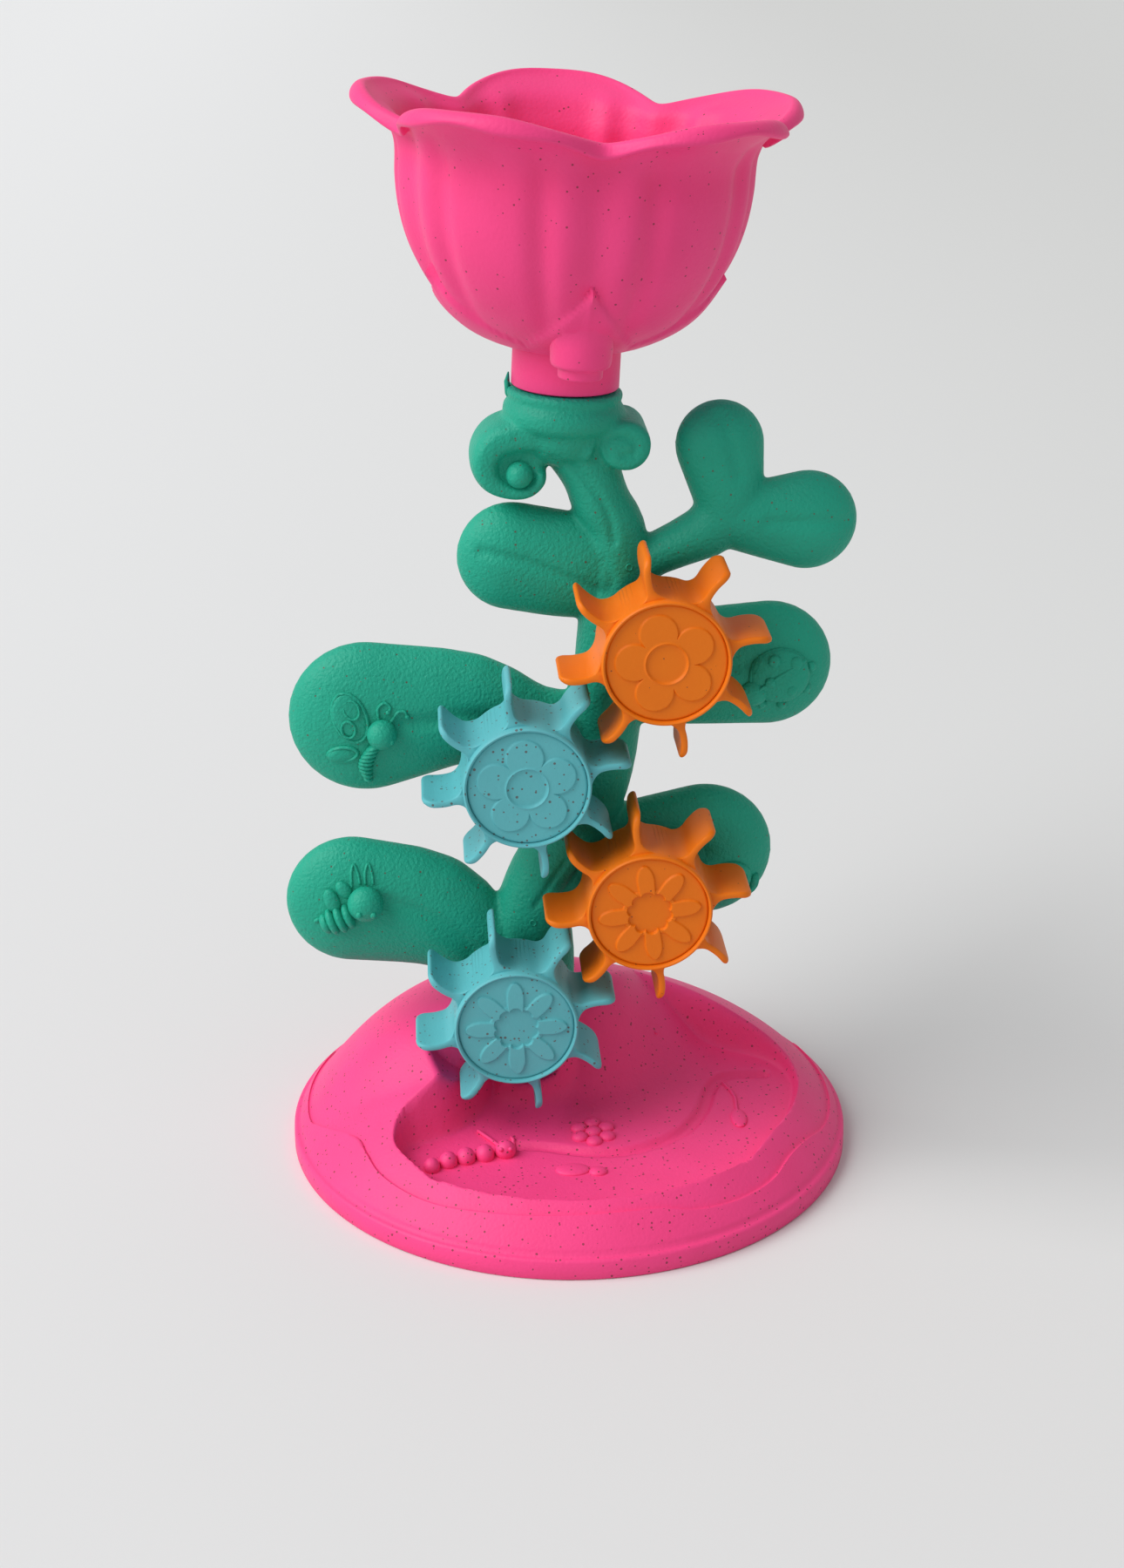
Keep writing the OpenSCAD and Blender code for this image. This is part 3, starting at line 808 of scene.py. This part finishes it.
def foot_of_hill(x, y):
    """Height of the hill's front above the pond's floor: a bank and the pillar round the socket."""
    slope = HILL_SLOPE - HILL_EASE * ease((x - 5) / 25)
    bank = rise(HILL_FOOT[2] - np.hypot(x - HILL_FOOT[0], y - HILL_FOOT[1]), slope, 4.0)
    pillar = rise(PILLAR_R - np.hypot(x + HILL_SHIFT, y), PILLAR_SLOPE, 1.8)
    return soft_max(bank, pillar, 5.0) - 0.4


def land(x, y):
    """Height of the base's top: hill, pond with its shore and brook, and the lowest wheel's bay."""
    top = hilltop(x, y)
    floor = POND_FLOOR + POND_TILT * np.maximum(0, y + 50)
    drop = np.maximum(top - floor, 0)
    inland = distance_to(SHORE, x, y) * np.where(encloses(SHORE, x, y), 1, -1)
    bank = np.clip(1 - inland / (0.8 + 0.24 * drop), 0, 1) ** 1.7
    wall = floor + drop * bank + 4 * np.maximum(-inland, 0)
    groove = BROOK_DEPTH * ease((BROOK_HALF - distance_to(BROOK, x, y)) / 1.3 + 0.5)
    bed = soft_max(floor + foot_of_hill(x, y), wall, 1.3) - groove
    soft = 1.4 + 10 * ease((56 - x) / 18) * ease((y + 10) / 15)
    dx = np.clip(np.abs(x - bay_x), 0, BAY_R)
    bay = bay_z - np.sqrt(BAY_R ** 2 - dx ** 2) + BAY_BACK * np.maximum(0, y - BAY_Y)
    return soft_min(soft_min(bed, top, soft), bay, 2.5)


# Inner edge of the low raised border round the front, as (degrees from the front, radius)
BORDER_LINE = [(-123, 86.5), (-112, 83), (-97, 82.4), (-83, 82), (-77, 80), (-64, 74.5), (-57, 75.5),
               (-49, 77.8), (-35, 79), (-20, 78), (0, 77), (15, 77.3), (24, 79.6), (34, 80.6), (45, 80.3),
               (54, 78.6), (62, 79), (71, 81.2), (81, 82.2), (95, 82.4), (110, 83), (119, 86.5)]
BORDER_STEP = 1.3
BORDER_SOFT = 0.6
BORDER_END = 85.4
BORDER_MEAN = 78


def border_radius(x, y):
    """Radius of the border's inner edge in the direction of each place."""
    line = curve_through(BORDER_LINE, 120)
    from_front = np.degrees(np.arctan2(x, -y))
    return np.interp(from_front, line[:, 0], line[:, 1], left=BORDER_END + 1, right=BORDER_END + 1)


def border(x, y):
    """Height of the raised border, which follows a wavy line round the front."""
    r = np.hypot(x, y)
    return BORDER_STEP * ease((r - border_radius(x, y)) / BORDER_SOFT + 0.5) * ease(BORDER_END - r)


# Low reliefs on the base's top, as places with sizes or lines
FLOWER = (5.5, -29.6)
FLOWER_PETALS = 6
FLOWER_R = 4.8
CATERPILLAR = [(-44, -46.2, 2.5), (-39, -43.7, 2.8), (-33.7, -42, 2.9), (-28, -40.7, 2.9)]
CATERPILLAR_HEAD = (-21.8, -39.6)
LEFT_FEELER = [(-22.5, -37.5), (-25.5, -33), (-29.5, -27.5)]
RIGHT_FEELER = [(-20.5, -37.5), (-19, -34.5), (-19.5, -31.5)]
LEAF = (51, -24)
LEAF_STALK = [(48.5, -4), (51, -11), (51, -18), (51, -25)]
MARKS = [(-2, -49, (5.2, 3.4, 1.1)), (5.5, -50.5, (2.8, 2.4, 1.3)), (28.4, 10.2, (0.7, 0.7, 0.5))]


def lump(x, y, size, lift=0.0):
    """An egg half sunk in the base's top."""
    return ball((x, y, float(land(np.array(x), np.array(y))) + lift), size)


def rod(points, radius, lift):
    """A thin rod laid along the base's top."""
    path = curve_through(points, 12)
    z = land(path[:, 0], path[:, 1]) + lift
    return tube(np.column_stack((path, z)), radius)


def pond_creatures():
    """A six-petalled flower, a caterpillar, a leaf on its stalk and three small marks."""
    parts = [lump(*FLOWER, (2.6, 2.4, 1.9))]
    for k in range(FLOWER_PETALS):
        a = TURN * (k + 0.5) / FLOWER_PETALS
        x = FLOWER[0] + FLOWER_R * math.cos(a)
        y = FLOWER[1] + FLOWER_R * math.sin(a)
        parts.append(lump(x, y, (2.5, 2.5, 1.7)))
    parts += [lump(x, y, (r, r * 1.1, r * 1.1), 0.8) for x, y, r in CATERPILLAR]
    parts.append(lump(*CATERPILLAR_HEAD, (3.2, 3.1, 3.2), 1.4))
    for dx in (-1.3, 1.5):
        parts.append(lump(CATERPILLAR_HEAD[0] + dx, CATERPILLAR_HEAD[1] - 2.4, (0.7, 0.7, 0.7), 3.2))
    parts += [rod(LEFT_FEELER, 0.6, 0.5), rod(RIGHT_FEELER, 0.55, 0.5)]
    parts += [lump(*LEAF, (2.6, 5.4, 1.1)), rod(LEAF_STALK, 0.5, 0.25)]
    parts += [lump(*mark) for mark in MARKS]
    for part in parts:
        face_out(part)
    return parts


def skirt_rings():
    """Rings of the skirt from its inner foot up to the edge of the dome."""
    rows = [(BASE_R - BASE_WALL, 0), (BASE_R - 0.5, 0), (BASE_R, 0.5), (BASE_R, 3),
            (BASE_R - 0.1, SKIRT_H - 0.9), (BASE_R - 0.5, SKIRT_H - 0.3), (BASE_R - 1.1, SKIRT_H),
            (BASE_R - 1.5, SKIRT_H + 0.05), (BASE_R - 1.8, SKIRT_H + 0.4)]
    return [ring(r, z, SKIN_COUNT) for r, z in rows]


def land_rings():
    """Rings of the base's top from its edge inwards, bent along the border so that its step stays clean."""
    radii = np.concatenate((np.linspace(2, 58, 70), np.linspace(58.8, 85.0, 68)))
    rings = []
    for r in reversed(radii):
        x, y, _ = ring(r, 0, SKIN_COUNT).T
        edge = np.clip(border_radius(x, y), 74, 83)
        bent = r + (edge - BORDER_MEAN) * np.interp(r, (62, BORDER_MEAN, 85), (0, 1, 0))
        x, y, _ = ring(bent, 0, SKIN_COUNT).T
        z = np.maximum(land(x, y) + border(x, y), SKIRT_H + 0.5)
        rings.append(np.column_stack((x, y, z)))
    return rings


def under_rings():
    """Rings of the hollow underside, a wall below the lowest top nearby."""
    rings = [ring(BASE_R - BASE_WALL, z, UNDER_COUNT) for z in (0, 4)]
    for r in np.linspace(81, 3, 30):
        x, y, _ = ring(r, 0, UNDER_COUNT).T
        near = [land(x + dx, y + dy) for dx in (-3, 0, 3) for dy in (-3, 0, 3)]
        z = np.maximum(np.min(near, axis=0) - BASE_WALL - 0.5, 3.5)
        rings.append(np.column_stack((x, y, z)))
    return rings


def make_base():
    """The hollow base with the socket for the stem's foot and its low reliefs."""
    top = loft("land", skirt_rings() + land_rings(), None, "point")
    under = loft("under", under_rings(), None, "point")
    base = join([top, under], "base")
    face_out(base)
    bore_r = FOOT_R + PUSH_GAP
    low = SHOULDER_Z - FOOT_LEN - PUSH_GAP
    carve(base, spun([(bore_r + 2, low - 2), (bore_r + 2, SHOULDER_Z - 4)], 64, stem_to_row), "UNION")
    carve(base, spun([(bore_r, low), (bore_r, 70)], 64, stem_to_row), "DIFFERENCE")
    base = join([base] + pond_creatures(), "base")
    settle(base, "pond_base", "base", "base", PINK, 70, pond_pink)


make_base()


# Stem: trunk, leaves, collar and scrolls as one soft form, parted into two shells

TRUNK_T = 10.0
LEAF_T = 8.0
SWELL = 0.15
VOXEL = 0.7 * MM
BOSS_R = 6.5
COLLAR_BORE = 12.4
COLLAR_DEPTH = 14.4
SCROLL_HALF = 12.0
CORE_HALF = 8.6
EYE_Y = 9.6
WIDE, DEEP, TALL = 200, 50, 300

# Middle lines of trunk and leaves as (x, z, half width)
TRUNK = [(0, SHOULDER_Z + 2, 12), (-1, 62, 12.5), (-2, 74, 12.1), (1, 89, 10.7), (6, 98, 10.4),
         (13, 114, 10.6), (16, 131, 11), (17, 150, 10.6), (17.5, 168, 10.4), (17.5, 185, 10),
         (16.5, COLLAR_Z - 41, 8.8), (12, COLLAR_Z - 33, 8.5), (8.5, COLLAR_Z - 24, 8.7),
         (3, COLLAR_Z - 13, 11)]
LEAVES = [
    [(17, 184.5, 11), (5, 186.5, 15.5), (-13, 189, 16)],
    [(17, 184, 8), (29, 191, 6.2), (48, 203, 9), (45, 224, 12.8)],
    [(48, 203, 9), (59, 202.5, 11.4), (72, 202.5, 14.6)],
    [(16, 151, 11), (33, 155.5, 17), (64, 158.5, 19)],
    [(13, 136.5, 11), (-5, 137.5, 12), (-25, 142, 17), (-54, 138.5, 23)],
    [(8, 92.5, 11), (27, 95.5, 17), (49, 98, 21)],
    [(-1, 62.5, 12), (-17, 66.5, 13), (-34, 76, 18.5), (-57, 79, 20.3)],
]

# Scrolls under the collar, as (x, z, half thickness or radius)
VOLUTE = [(8, 223.5, 5), (-2, 226, 5), (-12, 226.4, 5), (-19, 224, 4.8), (-22, 218.5, 4.4), (-20, 213, 3.6),
          (-14.5, 210.2, 2.5), (-9.5, 210.6, 2.2), (-6.4, 213.5, 2.0), (-6.3, 216.5, 1.7)]
VOLUTE_EYE = (-12.3, 215.6, 3.8)
VOLUTE_CORE = (-12.3, 216.5, 7.0)
ROLL = (17.2, 225.0, 7.2)

# Creases on the faces of the stem, each a path of (x, z) with its depth and half width
CREASES = [
    ([(-22, 192), (-10.3, 190), (2.4, 185.5), (11.8, 181.4)], 1.1, 1.6),
    ([(44, 234), (47.5, 225), (50, 217)], 0.9, 2.0),
    ([(60, 203.3), (72, 204), (83, 203.8)], 0.9, 1.8),
    ([(-43, 139.7), (-35, 140.5), (-27, 141.8), (-12, 141), (2, 138)], 1.2, 2.4),
    ([(58, 161), (44, 158), (28, 154), (18, 148)], 1.0, 2.2),
    ([(-46, 81.7), (-36, 78.2), (-27, 72.4), (-20, 66)], 1.3, 2.6),
    ([(48, 101), (36, 100), (22, 96), (12, 91)], 1.0, 2.2),
    ([(-2, 82), (2, 89), (6.5, 97)], 1.0, 0.8),
    ([(4.5, 83.5), (8, 88.5), (11, 94)], 1.0, 0.8),
    ([(-3.4, 221.1), (3.3, 217.5), (10.2, 210.2), (13.9, 203.5), (15.5, 197)], 1.0, 1.1),
    ([(13, 191), (15.5, 186), (14.5, 181.5), (12, 178)], 0.6, 1.4),
    ([(12.4, 221.5), (11.8, 226), (15, 228), (19.3, 226.4), (19.3, 223), (16.5, 222.6)], 0.9, 0.8),
]


def blob(place, depth):
    """One flattened ball of the stem; a wider one is a little thicker."""
    x, z, r = place
    return ball((x, 0, z), (r, depth + SWELL * (r - TRUNK_T), r), 28, 16)


def limb(places, depth):
    """A chain of blobs, each pair wrapped by a convex skin."""
    skins = []
    places = curve_through(places, 3 * len(places) - 2)
    for a, b in zip(places[:-1], places[1:]):
        skin = join([blob(a, depth), blob(b, depth)], "limb")
        choose_all(skin)
        bpy.ops.mesh.convex_hull()
        bpy.ops.object.mode_set(mode="OBJECT")
        skins.append(skin)
    return skins


def make_volute():
    """The left scroll: a thick ribbon that rolls in from under the collar and opens to the right."""
    steps = 56
    x, z, thick = curve_through(VOLUTE, steps).T
    half = np.linspace(SCROLL_HALF, SCROLL_HALF - 1.5, steps)
    along = np.gradient(np.column_stack((x, z)), axis=0)
    along /= np.linalg.norm(along, axis=1)[:, None]
    a = np.arange(48) * TURN / 48
    square_c = np.sign(np.cos(a)) * np.abs(np.cos(a)) ** 0.6
    square_s = np.sign(np.sin(a)) * np.abs(np.sin(a)) ** 0.6
    rings = [np.column_stack((x[i] - along[i, 1] * thick[i] * square_c, half[i] * square_s,
                              z[i] + along[i, 0] * thick[i] * square_c)) for i in range(steps)]
    return loft("volute", rings, "face", "face")


def make_roll(place, half):
    """A short roll with its axis from front to back and rounded ends."""
    x, z, r = place
    soft = 2.2
    turn = np.linspace(0, math.pi / 2, 6)
    edge = [(r - soft + soft * math.sin(t), half - soft + soft * math.cos(t)) for t in turn]
    rows = [(0.3, half)] + edge
    rings = []
    for side in (-1, 1):
        for radius, depth in rows[::-side]:
            p = ring(radius, 0, 72)
            rings.append(np.column_stack((x + p[:, 0], np.full(72, side * depth), z + p[:, 1])))
    return loft("roll", rings, "point", "point")


def make_collar():
    """The turned collar that holds the funnel's neck, with a wide lower ring and a narrow lip."""
    profile = [(0.5, 217), (8, 218.2), (11.4, 220.8), (13.2, 224), (14, 227.3), (15.6, 228.2), (17, 229.8),
               (17.4, 231.8), (17.2, 233.8), (16.2, 235.2), (15.5, 235.7), (15.9, 236.1), (16.5, 236.9),
               (16.6, 237.8), (16, 238.7), (15, COLLAR_Z), (0.5, COLLAR_Z)]
    return lathe("collar", profile, 128, "point", "point")


def on_front(stem, x, z):
    """Depth of the stem's front face at a place."""
    hit, place, _, _ = stem.ray_cast(Vector((x * MM, -0.1, z * MM)), Vector((0, 1, 0)))
    return place.y / MM if hit else 0.0


def laid(stem, points, lift):
    """Lays a path of (x, z) on the front face, a little proud of it."""
    return [(x, on_front(stem, x, z) - lift, z) for x, z in points]


def bead(stem, x, z, size, lift=0.0, degrees=0.0):
    """A small egg half sunk in the front face, with half-axes along x, depth and z, turned in its face."""
    egg = ball((0, 0, 0), size)
    across, depth, up = points_of(egg).T
    across, up = turned(across, up, math.radians(degrees))
    y = on_front(stem, x, z) - lift
    put(egg, np.column_stack((x + across, y + depth, z + up)))
    return egg


def oval(stem, centre, half, degrees, count, lift, radius):
    """A thin raised oval line on the front face, with two half-axes, turned in its face."""
    t = np.linspace(0, TURN, count)
    x, z = turned(half[0] * np.cos(t), half[1] * np.sin(t), math.radians(degrees))
    return tube(laid(stem, list(zip(centre[0] + x, centre[1] + z)), lift), radius)


def ridge(stem, points, radius, lift=0.1, count=24):
    """A thin raised line on the front face through a few points."""
    return tube(laid(stem, curve_through(points, count), lift), radius)


def garden_fly(stem):
    """A winged insect with a ringed tail for the middle left leaf."""
    parts = [bead(stem, -49.2, 136.9, (4.5, 4.2, 4.5), 1.2)]
    tail = curve_through([(-51.5, 132.6), (-53.2, 129), (-53.8, 125.5), (-53, 121.6)], 9)
    for k, (x, z) in enumerate(tail):
        parts.append(bead(stem, x, z, (2.7 - 0.0175 * k * k, 2.2, 0.95), 0.5, 28 - 6 * k))
    for centre, a, b, turn in (((-58.6, 141.2), 7.6, 4.8, 112), ((-60.6, 129.6), 4.4, 2.3, 12)):
        parts.append(bead(stem, *centre, (a, 0.9, b), 0.0, turn))
        parts.append(oval(stem, centre, (a, b), turn, 28, 0.15, 0.6))
    parts.append(oval(stem, (-58.2, 144), (2.9, 2.2), 112, 18, 0.9, 0.45))
    parts.append(oval(stem, (-59, 138), (2.6, 2.0), 100, 18, 0.9, 0.45))
    left_feeler = [(-50.2, 141), (-50.6, 144.4), (-48.7, 146.2), (-47, 144.8), (-47.6, 143.4)]
    right_feeler = [(-46.6, 140.6), (-44.8, 143.4), (-42.7, 143.6), (-42, 142)]
    parts += [ridge(stem, feeler, 0.5) for feeler in (left_feeler, right_feeler)]
    parts += [bead(stem, *feeler[-1], (0.75, 0.75, 0.75), 0.3) for feeler in (left_feeler, right_feeler)]
    parts.append(bead(stem, -46.3, 135.6, (0.7, 0.7, 0.8), 4.2))
    return parts


def striped_fly(stem):
    """A striped insect for the lower left leaf."""
    parts = [bead(stem, -53.1, 82.2, (5.5, 4.6, 5.5), 1.4)]
    for x in (-54.9, -50.7):
        parts.append(bead(stem, x, 80.3, (1.0, 1.0, 1.1), 5.2))
    for x, z, size in ((-58.2, 77.6, 4.2), (-60.6, 76.5, 4.6), (-63, 75.4, 4.3), (-65, 74.5, 3.2)):
        parts.append(bead(stem, x, z, (1.7, 1.2 + 0.55 * size, size), 0.2, 24))
    parts.append(bead(stem, -67.4, 75.4, (1.4, 0.7, 0.7), 0.2, 24))
    parts.append(bead(stem, -63.2, 82.4, (2.3, 1.5, 4.0), 0.5, 22))
    parts.append(bead(stem, -59.6, 86, (2.1, 1.4, 3.2), 0.4, 40))
    parts.append(ridge(stem, [(-57.4, 87), (-57.6, 91), (-56.9, 93.4), (-55.6, 91), (-54.9, 88)], 0.45))
    parts.append(ridge(stem, [(-53.3, 88), (-53.5, 91), (-52.6, 93.6), (-51.4, 91), (-51, 88)], 0.45))
    return parts


def beetle(stem):
    """A round beetle, low on the upper right leaf."""
    parts = [bead(stem, 66.5, 157.5, (8.8, 2.0, 8.2), 0.1)]
    parts.append(oval(stem, (66.5, 157.5), (8.6, 8.0), 0, 36, 0.2, 0.55))
    parts.append(bead(stem, 59.2, 152, (4.2, 2.4, 3.9), 0.5))
    for x, z, r in ((70.8, 161.8, 2.0), (64.2, 162.6, 1.8), (70, 153.6, 1.9), (63.6, 156, 1.6)):
        parts.append(bead(stem, x, z, (r, 0.9, r), 1.9))
    parts.append(ridge(stem, [(60.5, 153.5), (66, 158), (73.5, 162.6)], 0.5, 1.9, 12))
    for x, z in ((62, 148.4), (68, 148.3), (74.8, 153.4), (75.8, 160)):
        parts.append(bead(stem, x, z, (1.5, 1.2, 1.5), 0.2))
    return parts


def snail(stem):
    """A snail for the lower right leaf: a spiral shell on a low foot."""
    turns = np.linspace(0, 2.4 * TURN, 48)
    shell = [(57.5 + (0.6 + 0.33 * t) * math.cos(t), 91 + (0.6 + 0.33 * t) * math.sin(t)) for t in turns]
    foot = [(51.5, 86.2), (57.5, 85.4), (64, 87), (65, 91)]
    return [tube(laid(stem, shell, 0.3), np.linspace(0.7, 1.5, 48)), ridge(stem, foot, 1.5, 0.3, 14)]


def gate_marks(stem):
    """Two small rings on the trunk where the moulding was fed."""
    return [oval(stem, place, (0.9, 0.9), 0, 14, 0.0, 0.3) for place in ((-2.4, 76.6), (20.3, 189.4))]


def soft_form():
    """Trunk, leaves, pads behind the wheels, collar and scrolls melted into one skin, with its creases."""
    forms = limb(TRUNK, TRUNK_T)
    for leaf in LEAVES:
        forms += limb(leaf, LEAF_T)
    for x, z in zip(WHEEL_X, WHEEL_Z):
        heart = min(TRUNK, key=lambda p: abs(p[1] - z))
        forms += limb([(x, z, 9.0), (heart[0], z, 9.2)], LEAF_T)
    forms += [make_collar(), make_volute(), make_roll(VOLUTE_CORE, CORE_HALF), make_roll(ROLL, SCROLL_HALF)]
    for form in forms:
        face_out(form)
    stem = join(forms, "stem")
    apply(stem, "REMESH", mode="VOXEL", voxel_size=VOXEL)
    apply(stem, "SMOOTH", factor=0.5, iterations=7)
    p = points_of(stem)
    for path, depth, half in CREASES:
        d = distance_to(curve_through(path, 24), p[:, 0], p[:, 2])
        p[:, 1] -= np.sign(p[:, 1]) * depth * np.exp(-(d / half) ** 2) * ease((np.abs(p[:, 1]) - 3) / 3)
    put(stem, p)
    apply(stem, "SMOOTH", factor=0.5, iterations=2)
    return stem


def make_bosses(seat):
    """The four bosses that carry the axle pins, trimmed above the stem's seat."""
    bosses = []
    for x, z in zip(WHEEL_X, WHEEL_Z):
        profile = [(BOSS_R, 3), (BOSS_R, 12.4), (BOSS_R - 0.6, WHEEL_BACK - WHEEL_GAP + 0.6)]
        bosses.append(spun(profile, 40, lambda p: np.column_stack((
            p[:, 0] + x, -p[:, 2], np.maximum(p[:, 1] + z, seat)))))
    return bosses


def make_stem():
    """Shapes the upright stem, parts it into its front and back shells, and leans them."""
    stem = soft_form()
    x, z, r = VOLUTE_EYE
    eyes = [ball((x, y, z), (r, r, r), 40, 24) for y in (-EYE_Y, EYE_Y)]
    for form in [make_collar()] + eyes:
        face_out(form)
        carve(stem, form, "UNION")
    seat = SHOULDER_Z + PUSH_GAP
    carve(stem, block((-WIDE, -DEEP, seat), (WIDE, DEEP, TALL)), "INTERSECT")
    carve(stem, spun([(COLLAR_BORE, COLLAR_Z - COLLAR_DEPTH), (COLLAR_BORE, COLLAR_Z + 5)], 96), "DIFFERENCE")

    reliefs = garden_fly(stem) + striped_fly(stem) + beetle(stem) + snail(stem) + gate_marks(stem)
    spike = tube([(-15.8, 0, 236.5), (-16.4, -0.3, 240), (-16.1, -0.2, 242.5)], [1.0, 0.8, 0.25])
    for relief in reliefs + [spike]:
        face_out(relief)
    bosses = make_bosses(seat)
    toe = SHOULDER_Z - FOOT_LEN
    carve(stem, spun([(8.2, toe), (FOOT_R, toe + 0.8), (FOOT_R, seat + 3)], 64), "UNION")

    back = copy_of(stem)
    carve(stem, block((-WIDE, -DEEP, 0), (WIDE, 0, TALL)), "INTERSECT")
    carve(back, block((-WIDE, 0, 0), (WIDE, DEEP, TALL)), "INTERSECT")
    front = join([stem] + reliefs + bosses + [spike], "stem_front")
    for half, name in ((front, "stem_front"), (back, "stem_back")):
        put(half, stem_to_row(points_of(half)))
        settle(half, f"leafy_{name}", "stem", name, GREEN, 45)


make_stem()


# Stage, light and camera

FLOOR_SIZE = 30
# The floor's colour runs from pale paper near the window to a painted shade on the far side
FLOOR_PALE = (0.82, 0.82, 0.82, 1)
FLOOR_PAINTED_SHADE = (0.63, 0.63, 0.6174, 1)
BACKDROP = (0.64, 0.64, 0.64, 1)
WINDOW_STRENGTH = 2.7
WINDOW_SPREAD = math.radians(50)
WINDOW_TRAVEL = (0.7, 0.22, -0.68)
ROOM_TONE = (0.96, 0.98, 1.0, 1)
ROOM_STRENGTH = 0.43


def make_stage():
    """A pale paper floor whose colour is painted darker away from the window, as painted shade for the
    window's falloff.
    """
    deselect()
    bpy.ops.mesh.primitive_plane_add(size=FLOOR_SIZE, location=(0, 0, 0))
    floor = bpy.context.object
    floor.name = "floor"
    paper = bpy.data.materials.new("pale_paper")
    paper.use_nodes = True
    tree = paper.node_tree
    skin = tree.nodes["Principled BSDF"]
    skin.inputs["Roughness"].default_value = 0.9
    axes = shader(tree, "SeparateXYZ")
    tree.links.new(shader(tree, "TexCoord").outputs["Object"], axes.inputs["Vector"])
    across = shader(tree, "MapRange", From_Min=-0.7, From_Max=0.9)
    across.interpolation_type = "SMOOTHSTEP"
    tree.links.new(axes.outputs["X"], across.inputs["Value"])
    # Painted shade: the floor's colour darkens along X, away from the window
    tone = colour_mix(tree, across.outputs["Result"])
    tone.inputs["A"].default_value = FLOOR_PALE
    tone.inputs["B"].default_value = FLOOR_PAINTED_SHADE
    tree.links.new(tone.outputs["Result"], skin.inputs["Base Color"])
    floor.data.materials.append(paper)


def make_window():
    """A wide soft window from the upper left."""
    sun = bpy.data.lights.new("window", "SUN")
    sun.energy = WINDOW_STRENGTH
    sun.angle = WINDOW_SPREAD
    holder = bpy.data.objects.new("window", sun)
    bpy.context.scene.collection.objects.link(holder)
    holder.rotation_euler = Vector(WINDOW_TRAVEL).to_track_quat("-Z", "Y").to_euler()


def make_room():
    """An even room that looks as pale as the floor where it is seen directly or mirrored."""
    world = bpy.data.worlds.new("room")
    world.use_nodes = True
    tree = world.node_tree
    room = tree.nodes["Background"]
    room.inputs["Color"].default_value = ROOM_TONE
    room.inputs["Strength"].default_value = ROOM_STRENGTH
    seen = shader(tree, "Background", Color=BACKDROP)
    ray = shader(tree, "LightPath")
    mirrored = reckon(tree, "ADD", ray.outputs["Is Glossy Ray"], ray.outputs["Is Transmission Ray"])
    direct = reckon(tree, "ADD", ray.outputs["Is Camera Ray"], mirrored.outputs["Value"])
    direct.use_clamp = True
    shown = shader(tree, "MixShader")
    tree.links.new(direct.outputs["Value"], shown.inputs["Fac"])
    tree.links.new(room.outputs["Background"], shown.inputs[1])
    tree.links.new(seen.outputs["Background"], shown.inputs[2])
    tree.links.new(shown.outputs["Shader"], tree.nodes["World Output"].inputs["Surface"])
    bpy.context.scene.world = world


def make_camera():
    """A camera that looks down on the toy from the front, as in the photograph."""
    camera = bpy.data.objects.new("camera", bpy.data.cameras.new("camera"))
    bpy.context.scene.collection.objects.link(camera)
    camera.location = (-0.0431, -0.6622, 0.3914)
    camera.rotation_euler = (math.radians(67.59), 0, math.radians(-3.531))
    camera.data.sensor_width = 36
    camera.data.lens = 54.81
    camera.data.clip_start = 0.05
    bpy.context.scene.camera = camera


make_stage()
make_window()
make_room()
make_camera()
bpy.context.scene.view_settings.view_transform = "Standard"
